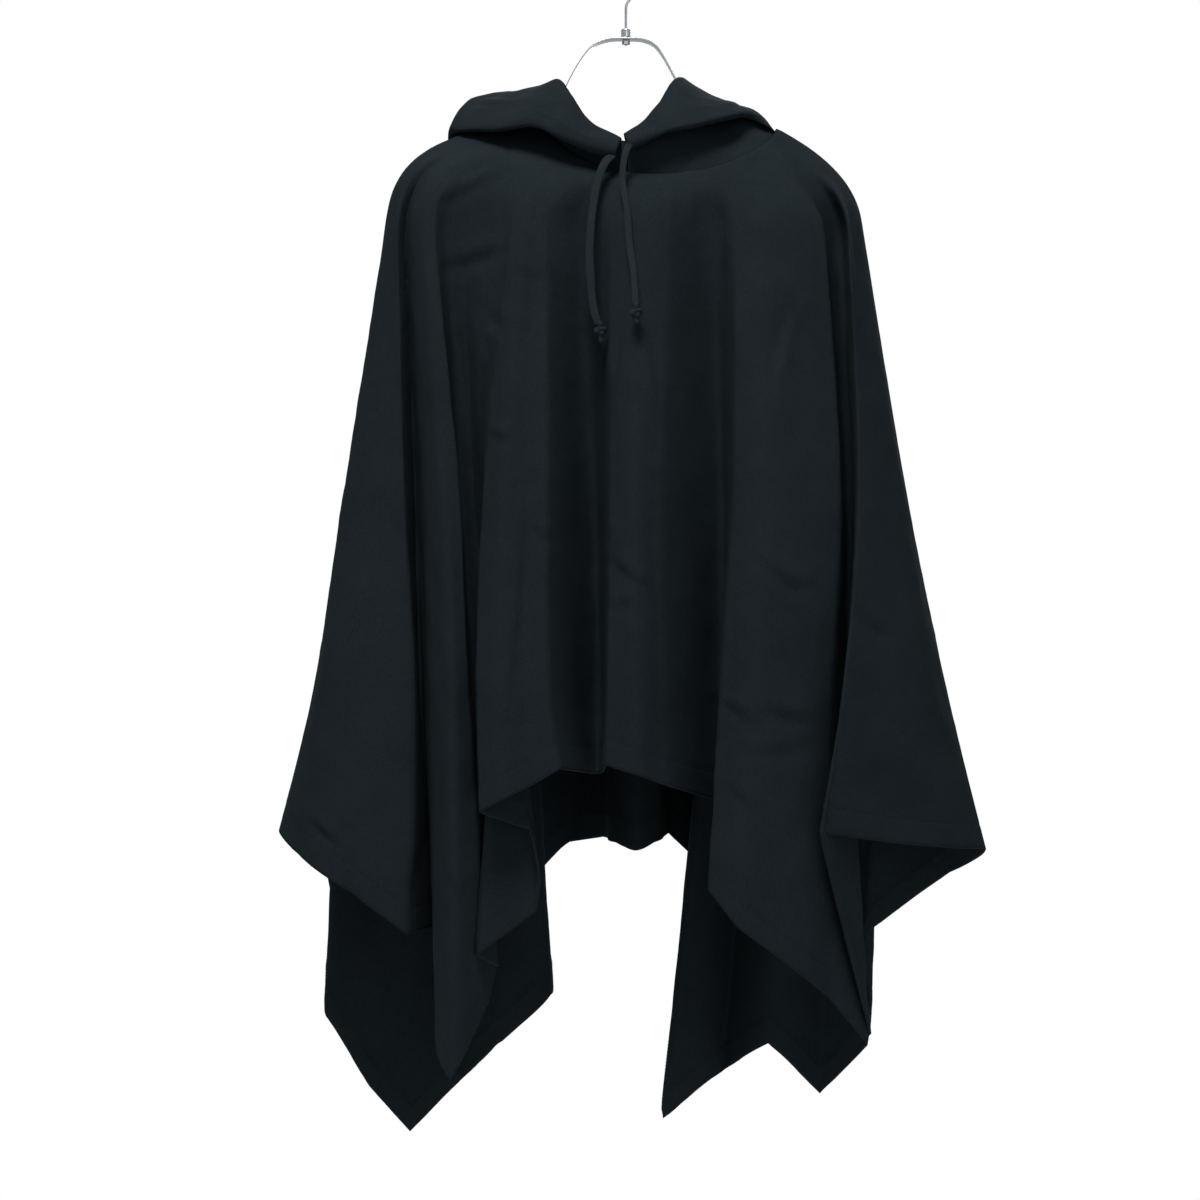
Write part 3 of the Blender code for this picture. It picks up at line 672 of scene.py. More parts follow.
@dataclass(frozen=True)
class WoolFinish(Finish):
    """Black felted wool with a fine diagonal twill under its nap."""

    name: str = "black_wool_twill"
    deep: Triple = (0.0058, 0.0082, 0.0098)
    lifted: Triple = (0.0104, 0.0145, 0.0168)
    fleck: Triple = (0.020, 0.026, 0.029)
    cloudy_share: float = 0.30      # of the tone; the nap has the rest
    twill_pitch: float = 1.3        # mm between two diagonal ribs
    twill_angle: float = 62.0       # degrees
    twill_depth: float = 0.10       # mm
    fibre_angle: float = 35.0       # degrees
    nap_depth: float = 0.16         # mm

    def paint(self, nodes: Nodes, shader: bpy.types.Node) -> None:
        """Mix nap, fibres and twill to a colour, a roughness and a relief.

        Args:
            nodes: the material's nodes.
            shader: its shader.
        """
        where = nodes.add("ShaderNodeTexCoord").outputs
        along_fibres = nodes.scaled(where["UV"], (1.0, 0.35, 1.0), self.fibre_angle)
        fibres = nodes.noise(along_fibres, 1500.0, 3.0, 0.6)
        nap = nodes.noise(where["Object"], 620.0, 3.0, 0.65)
        cloudy = nodes.noise(where["Object"], 17.0, 4.0, 0.6)
        twill = nodes.add("ShaderNodeTexWave", wave_type="BANDS", bands_direction="X", wave_profile="SIN",
                          in_Distortion=1.4, in_Detail=1.0, in_Detail_Scale=2.0,
                          in_Scale=2 * math.pi / (20 * self.twill_pitch * MM))
        nodes.join(nodes.scaled(where["UV"], (1.0, 1.0, 1.0), self.twill_angle), twill.inputs["Vector"])
        tone = nodes.blend((cloudy, self.cloudy_share), (nap, 1 - self.cloudy_share))
        relief = nodes.blend((twill.outputs["Fac"], self.twill_depth),
                             (nodes.math("ADD", nap, fibres), self.nap_depth))
        nodes.colour(shader, tone, ((0.32, self.deep), (0.66, self.lifted), (0.86, self.fleck)))
        nodes.rough(shader, nap, 0.82, 1.0)
        nodes.bump(shader, relief, 0.55, MM)
        nodes.fill(shader, Specular_IOR_Level=0.015, Sheen_Weight=0.004, Sheen_Roughness=0.55,
                   Sheen_Tint=(0.75, 0.95, 0.95, 1.0))


# The ties' wool is the cloak's own cloth painted lighter: a painted sheen for the light that their rounded
# form catches.
TIE_PAINTED_SHEEN_FINISH = WoolFinish("black_wool_tie_painted_sheen", (0.0075, 0.0102, 0.0120), (0.0135, 0.0182, 0.0210))


@dataclass(frozen=True)
class ThreadFinish(Finish):
    """Black sewing thread, a little smoother than the cloth."""

    name: str = "black_thread"
    thread: Triple = (0.0050, 0.0064, 0.0074)
    shaded: float = 0.7             # of the colour between two strands

    def paint(self, nodes: Nodes, shader: bpy.types.Node) -> None:
        """Twist the thread of fine strands.

        Args:
            nodes: the material's nodes.
            shader: its shader.
        """
        strands = nodes.noise(nodes.add("ShaderNodeTexCoord").outputs["Object"], 4200.0, 1.0)
        deep = tuple(channel * self.shaded for channel in self.thread)
        nodes.colour(shader, strands, ((0.3, deep), (0.7, self.thread)))
        nodes.rough(shader, strands, 0.55, 0.8)
        nodes.bump(shader, strands, 0.4, 0.1 * MM)
        nodes.fill(shader, Specular_IOR_Level=0.06)


@dataclass(frozen=True)
class SteelFinish(Finish):
    """Polished, chromed steel with fine handling marks."""

    name: str = "polished_steel"
    steel: Triple = (0.56, 0.57, 0.58)
    shaded: float = 0.82            # of the colour under a smear

    def paint(self, nodes: Nodes, shader: bpy.types.Node) -> None:
        """Smear and mark the steel a little.

        Args:
            nodes: the material's nodes.
            shader: its shader.
        """
        where = nodes.add("ShaderNodeTexCoord").outputs["Object"]
        smears = nodes.noise(where, 45.0, 4.0, 0.6)
        marks = nodes.noise(nodes.scaled(where, (1.0, 0.12, 1.0)), 2600.0, 2.0)
        dull = tuple(channel * self.shaded for channel in self.steel)
        nodes.colour(shader, smears, ((0.35, dull), (0.65, self.steel)))
        nodes.rough(shader, smears, 0.12, 0.30)
        nodes.bump(shader, marks, 0.08, 0.1 * MM)
        nodes.fill(shader, Metallic=1.0)


@dataclass(frozen=True)
class FloorFinish(Finish):
    """Plain pale floor."""

    name: str = "pale_floor"

    def paint(self, nodes: Nodes, shader: bpy.types.Node) -> None:
        """Paint the floor one pale grey."""
        nodes.fill(shader, Base_Color=(0.86, 0.86, 0.86, 1.0), Roughness=0.9, Specular_IOR_Level=0.1)


def dressed(made: Piece, finish: Finish, node: str) -> Piece:
    """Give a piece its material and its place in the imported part.

    Args:
        made: the piece.
        finish: what its material is built by.
        node: the solid that it stands for.

    Returns:
        The same piece.
    """
    made.data.materials.append(finish.material())
    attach(made, BODY)
    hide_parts(node)
    return made


@dataclass(frozen=True)
class StitchRun:
    """Lockstitches along a path, as small rounded bars laid on the cloth by Geometry Nodes."""

    pitch: float = 3.6
    length: float = 2.7
    width: float = 0.55
    height: float = 0.3
    sink: float = 0.08

    def tree(self) -> bpy.types.GeometryNodeTree:
        """Find the node tree, or build it.

        Returns:
            The node tree.
        """
        found = bpy.data.node_groups.get("stitch_run")
        if found:
            return found
        tree = bpy.data.node_groups.new("stitch_run", "GeometryNodeTree")
        face = tree.interface
        face.new_socket("Geometry", in_out="INPUT", socket_type="NodeSocketGeometry")
        for label in ("Pitch", "Length", "Width", "Height", "Lift"):
            face.new_socket(label, in_out="INPUT", socket_type="NodeSocketFloat")
        face.new_socket("Thread", in_out="INPUT", socket_type="NodeSocketMaterial")
        face.new_socket("Geometry", in_out="OUTPUT", socket_type="NodeSocketGeometry")
        nodes = Nodes(tree)
        given = nodes.add("NodeGroupInput")
        path = nodes.add("GeometryNodeMeshToCurve")
        spaced = nodes.add("GeometryNodeResampleCurve", mode="LENGTH")
        ball = nodes.add("GeometryNodeMeshUVSphere", in_Segments=6, in_Rings=4, in_Radius=0.5)
        smooth = nodes.add("GeometryNodeSetShadeSmooth")
        size = nodes.add("ShaderNodeCombineXYZ")
        shaped = nodes.add("GeometryNodeTransform")
        outward = nodes.add("GeometryNodeInputNamedAttribute", data_type="FLOAT_VECTOR", in_Name="outward")
        along = nodes.add("GeometryNodeInputTangent")
        upright = nodes.add("FunctionNodeAlignRotationToVector", axis="Z")
        turned = nodes.add("FunctionNodeAlignRotationToVector", axis="X", pivot_axis="Z")
        raised = nodes.add("ShaderNodeVectorMath", operation="SCALE")
        placed = nodes.add("GeometryNodeSetPosition")
        copies = nodes.add("GeometryNodeInstanceOnPoints")
        real = nodes.add("GeometryNodeRealizeInstances")
        threaded = nodes.add("GeometryNodeSetMaterial")
        out = nodes.add("NodeGroupOutput")
        for source, output, target, entry in (
            (given, "Geometry", path, "Mesh"),
            (path, "Curve", spaced, "Curve"),
            (given, "Pitch", spaced, "Length"),
            (spaced, "Curve", placed, "Geometry"),
            (outward, "Attribute", raised, 0),
            (given, "Lift", raised, "Scale"),
            (raised, "Vector", placed, "Offset"),
            (placed, "Geometry", copies, "Points"),
            (ball, "Mesh", smooth, "Geometry"),
            (smooth, "Geometry", shaped, "Geometry"),
            (given, "Length", size, "X"),
            (given, "Width", size, "Y"),
            (given, "Height", size, "Z"),
            (size, "Vector", shaped, "Scale"),
            (shaped, "Geometry", copies, "Instance"),
            (outward, "Attribute", upright, "Vector"),
            (upright, "Rotation", turned, "Rotation"),
            (along, "Tangent", turned, "Vector"),
            (turned, "Rotation", copies, "Rotation"),
            (copies, "Instances", real, "Geometry"),
            (real, "Geometry", threaded, "Geometry"),
            (given, "Thread", threaded, "Material"),
            (threaded, "Geometry", out, "Geometry"),
        ):
            nodes.join(source.outputs[output], target.inputs[entry])
        return tree

    def sew(self, name: str, paths: Sequence[Path]) -> Piece:
        """Lay stitches along paths.

        Args:
            name: the piece's name.
            paths: for each path its points and its outward directions, in millimetres.

        Returns:
            One plain mesh of stitches.
        """
        mesh = bpy.data.meshes.new(name)
        points = np.concatenate([path for path, _ in paths]) * MM
        edges = []
        start = 0
        for path, _ in paths:
            edges += [(start + i, start + i + 1) for i in range(len(path) - 1)]
            start += len(path)
        mesh.from_pydata(points.tolist(), edges, [])
        outward = mesh.attributes.new("outward", "FLOAT_VECTOR", "POINT")
        directions = np.concatenate([out for _, out in paths]).astype(np.float32)
        outward.data.foreach_set("vector", directions.ravel())
        guide = linked(name + "_guide", mesh)
        modifier = guide.modifiers.new("stitches", "NODES")
        modifier.node_group = self.tree()
        sizes = {"Pitch": self.pitch, "Length": self.length, "Width": self.width,
                 "Height": self.height, "Lift": self.height / 2 - self.sink}
        for item in modifier.node_group.interface.items_tree:
            if item.item_type == "SOCKET" and item.in_out == "INPUT" and item.name in sizes:
                modifier[item.identifier] = sizes[item.name] * MM
            elif item.item_type == "SOCKET" and item.name == "Thread":
                modifier[item.identifier] = ThreadFinish().material()
        made = realized(guide, name)
        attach(made, BODY)
        return made


@dataclass
class ClothGrid:
    """A cloth as columns of points from one edge to the other, with its thickness at each point."""

    panel: Panel
    points: np.ndarray
    wall: np.ndarray

    def relax(self, times: int) -> None:
        """Even out small kinks down the columns, with the edges kept.

        Args:
            times: how often.
        """
        for _ in range(times):
            inner = self.points[:, :-2] + self.points[:, 2:] + 2 * self.points[:, 1:-1]
            self.points[:, 1:-1] = inner / 4

    def raise_by(self, heights: np.ndarray) -> None:
        """Move each point out along its normal."""
        self.points = self.points + grid_normals(self.points) * heights[..., None]

    def wander(self, amount: np.ndarray, across: float, along: float, seed: float) -> None:
        """Give the cloth a soft unevenness.

        Args:
            amount: its height at each point.
            across: its length across the cloth.
            along: its length down the cloth.
            seed: where in the noise it is read.
        """
        flat = self.points.reshape(-1, 3)
        values = [noise.noise(Vector((p[0] / across, p[1] / across + seed, p[2] / along))) for p in flat]
        self.raise_by(np.array(values).reshape(amount.shape) * amount)

    def crease(self, crease: Crease, facing: np.ndarray) -> None:
        """Press one crease into the cloth.

        Args:
            crease: its route and size.
            facing: 1 where the cloth faces outwards on its side, and 0 where it is turned away.
        """
        flat = self.points[..., [0, 2]]
        route = np.array(crease.route, float)
        ahead = np.diff(route, axis=0)
        spans = np.linalg.norm(ahead, axis=1)
        starts = np.concatenate([[0], np.cumsum(spans)[:-1]])
        nearest = np.full(flat.shape[:2], 1e9)
        signed = np.zeros(flat.shape[:2])
        place = np.zeros(flat.shape[:2])
        for origin, way, span, start in zip(route, ahead, spans, starts):
            offset = flat - origin
            share = np.clip((offset @ way) / span ** 2, 0, 1)
            rest = offset - share[..., None] * way
            gap = np.linalg.norm(rest, axis=-1)
            side = np.sign(offset[..., 0] * way[1] - offset[..., 1] * way[0])
            closer = gap < nearest
            nearest = np.where(closer, gap, nearest)
            signed = np.where(closer, gap * side, signed)
            place = np.where(closer, (start + share * span) / spans.sum(), place)
        fade = np.sin(np.pi * np.clip(place, 0, 1)) ** CREASE_FADE
        ridge = np.exp(-(nearest / np.where(signed > 0, RIDGE_LEE * crease.width, crease.width)) ** 2)
        trough = np.exp(-((signed - TROUGH_PLACE * crease.width) / (TROUGH_WIDTH * crease.width)) ** 2)
        self.raise_by(facing * fade * CREASE_STRENGTH * crease.rise * (ridge - crease.lee * trough))

    def groove(self, gap: np.ndarray, width: float, depth: float) -> None:
        """Draw the cloth in along a line, where gap is each point's distance from the line."""
        self.raise_by(-depth * np.exp(-(gap / width) ** 2))

    def path(self, level_place: np.ndarray, lift: float = 0.0) -> Path:
        """Return a path across the cloth at fractional levels, one for each column.

        Args:
            level_place: the level of the path at each column.
            lift: how far it lies outside the cloth, or inside if it is negative.

        Returns:
            The path's points and the cloth's outward directions there.
        """
        normals = grid_normals(self.points)
        low = np.clip(level_place.astype(int), 0, self.points.shape[1] - 2)
        share = (level_place - low)[:, None]
        rows = np.arange(len(low))
        spot = self.points[rows, low] * (1 - share) + self.points[rows, low + 1] * share
        out = unit(normals[rows, low] * (1 - share) + normals[rows, low + 1] * share)
        return spot + out * lift, out

    def shell(self, name: str) -> Piece:
        """Make the closed cloth, with rounded edges and a flat pattern as its UV map.

        Args:
            name: the piece's name.

        Returns:
            The mesh object, with its place in its mesh.
        """
        columns, levels, _ = self.points.shape
        normals = grid_normals(self.points)
        inner = self.points - normals * self.wall[..., None]
        across = lengths_along(self.points, 0)
        across = across - across[columns // 2]
        down = lengths_along(self.points, 1)
        rim = self.rim(columns, levels)
        middle = (self.points + inner) / 2
        outwards = np.zeros_like(middle)
        outwards[0] = unit(middle[0] - middle[1])
        outwards[-1] = unit(middle[-1] - middle[-2])
        outwards[:, 0] += unit(middle[:, 0] - middle[:, 1])
        outwards[:, -1] += unit(middle[:, -1] - middle[:, -2])
        edge = middle + unit(outwards) * self.wall[..., None] * EDGE_BULGE
        rim_points = np.array([edge[c, l] for c, l in rim])
        points = np.concatenate([self.points.reshape(-1, 3), inner.reshape(-1, 3), rim_points]) * MM
        count = columns * levels
        corner = (np.arange(columns - 1)[:, None] * levels + np.arange(levels - 1)[None, :]).ravel()
        outer_faces = np.stack([corner, corner + 1, corner + levels + 1, corner + levels], axis=1)
        inner_faces = outer_faces[:, ::-1] + count
        loop = [c * levels + l for c, l in rim]
        rim_faces = []
        for index, near in enumerate(loop):
            following = (index + 1) % len(loop)
            far = loop[following]
            rim_faces.append((near, far, 2 * count + following, 2 * count + index))
            rim_faces.append((2 * count + index, 2 * count + following, far + count, near + count))
        faces = np.concatenate([outer_faces, inner_faces, np.array(rim_faces)])
        mesh = bpy.data.meshes.new(name)
        mesh.from_pydata(points.tolist(), [], faces.tolist())
        flat = np.stack([across, -down], axis=-1).reshape(-1, 2) * MM
        flat_rim = np.array([flat[v] for v in loop])
        flat_all = np.concatenate([flat, flat, flat_rim])
        layer = mesh.uv_layers.new(name="flat_pattern")
        corners = np.zeros(len(mesh.loops), np.int32)
        mesh.loops.foreach_get("vertex_index", corners)
        layer.data.foreach_set("uv", flat_all[corners].astype(np.float32).ravel())
        mesh.shade_smooth()
        mesh.update()
        return dressed(linked(name, mesh), WoolFinish(), self.panel.value)

    @staticmethod
    def rim(columns: int, levels: int) -> list[tuple[int, int]]:
        """Go round the cloth's edge.

        Args:
            columns: how many there are.
            levels: how many there are.

        Returns:
            The column and the level of each point of the edge, in order.
        """
        top = [(c, 0) for c in range(columns - 1)]
        end = [(columns - 1, l) for l in range(levels - 1)]
        foot = [(c, levels - 1) for c in range(columns - 1, 0, -1)]
        start = [(0, l) for l in range(levels - 1, 0, -1)]
        return top + end + foot + start


@dataclass
class BodyCloth:
    """Front and back of the cloak, cut at the two seams over the arms."""

    yoke_rows: int = 28
    drop_rows: int = 116
    fold_steps: int = 10
    corner_reach: float = 150.0  # from the hem, within which the hem's corners are drawn out
    hem_rows: tuple[float, ...] = (44, 36, 30, 27.6, 26.2, 25, 23.8, 22, 18, 13, 8, 4, 1.6, 0.0)
    seam_rows: tuple[float, ...] = (0.0, 0.7, 1.6, 2.8, 4.6)
    seam_depth: float = 0.35
    samples: int = 241              # by which a fold line is measured
    calm_times: int = 14            # that the shoulders' folds are evened out
    calm_share: float = 0.2         # of the way down the shoulder that stays even
    calm_power: float = 1.6
    neck_share: float = 0.12        # in which the folds leave the neck seam
    facing_gain: float = 2.2        # how soon a cloth that turns away has its creases
    uneven: tuple[Unevenness, ...] = (
        Unevenness(1.8, 90, 30, 0.25, 46, 260, 0),
        Unevenness(0.9, 20, 14, 1, 19, 48, 7),
        Unevenness(0.45, 12, 9, 1, 8, 13, 19),
    )
    hem_reach: float = 60.0         # above the hem, in which the unevenness eases

    def line(self, fold: FoldLine, angle: float) -> np.ndarray:
        """Draw one fold line, from the neck seam to the hem.

        Args:
            fold: its places below the shoulder.
            angle: its degrees round the neck.

        Returns:
            Its points, one for each level of the cloth.
        """
        neck = neck_points(np.array([angle]))[0]
        chest = np.array([*fold.chest, CHEST_Z], float)
        run = (chest - neck)[:2] * YOKE_RUN
        rightness = (neck[0] - NECK_X + NECK_HALF_WIDTH) / (2 * NECK_HALF_WIDTH)
        slope, turn = (np.interp(rightness, (0, 1), pair) for pair in (YOKE_SLOPES, YOKE_TURNS))
        leave = neck + np.array([*run, -slope * np.linalg.norm(run)])
        arrive = chest + np.array([0, 0, (neck[2] - chest[2]) * turn])
        t = (np.arange(self.yoke_rows) / self.yoke_rows)[:, None]
        yoke = (neck * (1 - t) ** 3 + leave * 3 * (1 - t) ** 2 * t + arrive * 3 * (1 - t) * t ** 2
                + chest * t ** 3)
        shares = np.linspace(0, 1, self.samples)
        dense = self.drop(fold, shares)
        run_length = lengths_along(dense[None], 1)[0]
        hem_shares = 1 - np.interp(np.array(self.hem_rows), run_length, shares)
        upper = np.linspace(0, hem_shares[0], self.drop_rows, endpoint=False)
        return np.concatenate([yoke, self.drop(fold, np.concatenate([upper, hem_shares]))])

    @staticmethod
    def drop(fold: FoldLine, shares: np.ndarray) -> np.ndarray:
        """Draw a fold line between the chest and the hem.

        Args:
            fold: its places.
            shares: how far down each point is, from 0 to 1.

        Returns:
            Its points.
        """
        above = (*fold.chest, CHEST_Z), (*fold.waist, WAIST_Z), (*fold.low, LOW_Z)
        stops = np.array([*above, fold.hem], float)
        z = CHEST_Z + (fold.hem[2] - CHEST_Z) * shares
        slopes = []
        for index in range(len(stops)):
            before, after = stops[max(index - 1, 0)], stops[min(index + 1, len(stops) - 1)]
            slopes.append((after - before) / (after[2] - before[2]))
        slopes = np.array(slopes)
        place = np.clip(np.searchsorted(-stops[:, 2], -z, side="right") - 1, 0, len(stops) - 2)
        upper, lower = stops[place], stops[place + 1]
        span = (lower[:, 2] - upper[:, 2])[:, None]
        t = (z[:, None] - upper[:, 2:]) / span
        points = smooth_run(upper, slopes[place] * span, lower, slopes[place + 1] * span, t)
        points[:, 2] = z
        return points

    def lines(self) -> np.ndarray:
        """Draw the fold lines of the front and the back.

        Returns:
            The lines as one closed ring.
        """
        ring = []
        for folds, start in ((FRONT_FOLDS, 180.0), (BACK_FOLDS, 0.0)):
            chests = np.array([fold.chest for fold in folds], float)
            run = lengths_along(chests[None], 1)[0]
            angles = start + 180 * run / run[-1]
            ring += [self.line(fold, angle) for fold, angle in zip(folds[:-1], angles)]
        return self.calm_yoke(np.array(ring))

    def calm_yoke(self, ring: np.ndarray) -> np.ndarray:
        """Let the folds fade out up the shoulders, with the two seams kept.

        Args:
            ring: the fold lines.

        Returns:
            The fold lines with their upper parts evened out.
        """
        even = ring[:, :self.yoke_rows].copy()
        seams = [0, len(FRONT_FOLDS) - 1]
        for _ in range(self.calm_times):
            even = (np.roll(even, 1, axis=0) + np.roll(even, -1, axis=0) + 2 * even) / 4
            even[seams] = ring[seams, :self.yoke_rows]
        t = np.arange(self.yoke_rows) / self.yoke_rows
        held = np.clip((t - self.calm_share) / (1 - self.calm_share), 0, 1) ** self.calm_power
        held = held[None, :, None]
        settled = np.clip(t / self.neck_share, 0, 1)[None, :, None]
        held = 1 - (1 - held) * settled
        calm = ring.copy()
        calm[:, :self.yoke_rows] = even * (1 - held) + ring[:, :self.yoke_rows] * held
        return calm

    def places(self, first: int, last: int, widths: Pair) -> np.ndarray:
        """Return the places of the columns, close together beside the two seams.

        Args:
            first: the place of the first seam.
            last: the place of the last seam.
            widths: the width in millimetres of the first and the last interval.

        Returns:
            Fractional places along the ring of fold lines.
        """
        inner = np.arange(first + 1 / self.fold_steps, last - 0.5 / self.fold_steps, 1 / self.fold_steps)
        start = first + np.array(self.seam_rows) / widths[0]
        end = last - np.array(self.seam_rows)[::-1] / widths[1]
        inner = inner[(inner > start[-1] + 0.03) & (inner < end[0] - 0.03)]
        return np.concatenate([start, inner, end])

    @staticmethod
    def folded(ring: np.ndarray, places: np.ndarray, crisp: np.ndarray) -> np.ndarray:
        """Run the cloth from fold line to fold line, rounded at some and pressed sharp at others.

        Args:
            ring: the fold lines.
            places: the place of each column along them.
            crisp: for each fold line, 0 where it is round to 1 where it is sharp.

        Returns:
            The points of each column.
        """
        chords = np.diff(ring, axis=0)
        spans = np.linalg.norm(chords, axis=-1, keepdims=True)
        ways = chords / np.maximum(spans, 1e-6)
        before, after = spans[:-1], spans[1:]
        turns = np.zeros_like(ring)
        turns[1:-1] = (ways[1:] * before + ways[:-1] * after) / (before + after)
        turns[0], turns[-1] = ways[0], ways[-1]
        low = np.clip(np.floor(places + 1e-9).astype(int), 0, len(ring) - 2)
        t = (places - low)[:, None, None]
        sharp = crisp[:, None, None]
        leave = turns[low] * spans[low] * (1 - sharp[low]) + chords[low] * sharp[low]
        arrive = turns[low + 1] * spans[low] * (1 - sharp[low + 1]) + chords[low] * sharp[low + 1]
        return smooth_run(ring[low], leave, ring[low + 1], arrive, t)

    def draw_corners(self, points: np.ndarray, ring: np.ndarray, places: np.ndarray) -> None:
        """Let the hem run straight from corner to corner, and ease that out above it.

        Args:
            points: the cloth's points, changed in place.
            ring: the fold lines.
            places: the place of each column along them.
        """
        hem_z = points[:, -1, 2].copy()
        for start in range(int(places[0]), int(round(places[-1]))):
            inside = np.where((places >= start - 1e-6) & (places <= start + 1 + 1e-6))[0]
            run = lengths_along(points[inside, -1][None, :, :2], 1)[0]
            share = run / run[-1]
            hem_z[inside] = ring[start, -1, 2] * (1 - share) + ring[start + 1, -1, 2] * share
        down = lengths_along(points, 1)
        near = np.clip(1 - (down[:, -1:] - down) / self.corner_reach, 0, 1) ** 2
        points[..., 2] += (hem_z - points[:, -1, 2])[:, None] * near

    def grid(self, panel: Panel, ring: np.ndarray, first: int, last: int) -> ClothGrid:
        """Make one panel.

        Args:
            panel: which one.
            ring: the wrapped ring of fold lines.
            first: the place of its first seam.
            last: the place of its last seam.

        Returns:
            The panel's cloth.
        """
        widths = [float(np.linalg.norm(ring[a] - ring[b], axis=-1).mean())
                  for a, b in ((first, first + 1), (last, last - 1))]
        places = self.places(first, last, (widths[0], widths[1]))
        folds = FRONT_FOLDS if panel is Panel.FRONT else BACK_FOLDS
        crisp = np.full(len(ring), ROUNDED)
        crisp[first:last + 1] = [CRISP.get(fold.name, ROUNDED) for fold in folds]
        points = self.folded(ring, places, crisp)
        self.draw_corners(points, ring, places)
        for column, neighbour in ((0, 1), (-1, -2)):
            inwards = unit(points[neighbour] - points[column])
            points[column] += inwards * SEAM_GAP / 2
        hem = lengths_along(points, 1)
        hem = hem[:, -1:] - hem
        wall = np.where(hem < HEM_WIDTH, HEM_WALL, WALL)
        wall = np.where(np.abs(hem - HEM_WIDTH) < 1.5, (HEM_WALL + WALL) / 2, wall)
        cloth = ClothGrid(panel, points, wall)
        cloth.relax(16)
        return cloth

    def finish(self, cloth: ClothGrid, seed: float) -> None:
        """Give a panel its creases, its unevenness, its seam grooves and its hem line.

        Args:
            cloth: the panel's cloth.
            seed: where in the noise its unevenness is read.
        """
        sign = -1.0 if cloth.panel is Panel.FRONT else 1.0
        facing = np.clip(grid_normals(cloth.points)[..., 1] * sign * self.facing_gain, 0, 1)
        for crease in CREASES[cloth.panel]:
            cloth.crease(crease, facing)
        down = lengths_along(cloth.points, 1)
        across = lengths_along(cloth.points, 0)
        from_seam = np.minimum(across, across[-1:] - across)
        hem = down[:, -1:] - down
        for layer in self.uneven:
            ease = np.clip(down / layer.from_neck, 0, 1) * np.clip(from_seam / layer.from_seam, 0, 1)
            amount = layer.amount * ease * np.clip(hem / self.hem_reach, layer.hem_share, 1)
            cloth.wander(amount, layer.across, layer.along, seed + layer.shift)
        cloth.groove(from_seam, width=1.5, depth=self.seam_depth)
        cloth.groove(np.abs(hem - HEM_STITCH), width=1.5, depth=0.35)
        cloth.groove(down, width=1.6, depth=0.5)

    def build(self) -> dict[Panel, ClothGrid]:
        """Make the front and the back.

        Returns:
            The two cloths.
        """
        ring = self.lines()
        start, turn = 2, 2 + len(FRONT_FOLDS) - 1
        end = start + len(ring)
        wrapped = np.concatenate([ring[-start:], ring, ring[:start + 1]])
        made = {}
        for panel, first, last, seed in ((Panel.FRONT, start, turn, 3.1), (Panel.BACK, turn, end, 41.7)):
            made[panel] = self.grid(panel, wrapped, first, last)
            self.finish(made[panel], seed)
        return made

    def hem_paths(self, cloth: ClothGrid) -> list[Path]:
        """Find where the hem's stitches run.

        Args:
            cloth: the cloth.

        Returns:
            A path outside and one inside.
        """
        levels = cloth.points.shape[1]
        row = levels - len(self.hem_rows) + self.hem_rows.index(HEM_STITCH)
        place = np.full(len(cloth.points), float(row))[2:-2]
        trimmed = ClothGrid(cloth.panel, cloth.points[2:-2], cloth.wall[2:-2])
        outside, out = trimmed.path(place)
        inside = outside - out * HEM_WALL
        return [(outside, out), (inside, -out)]


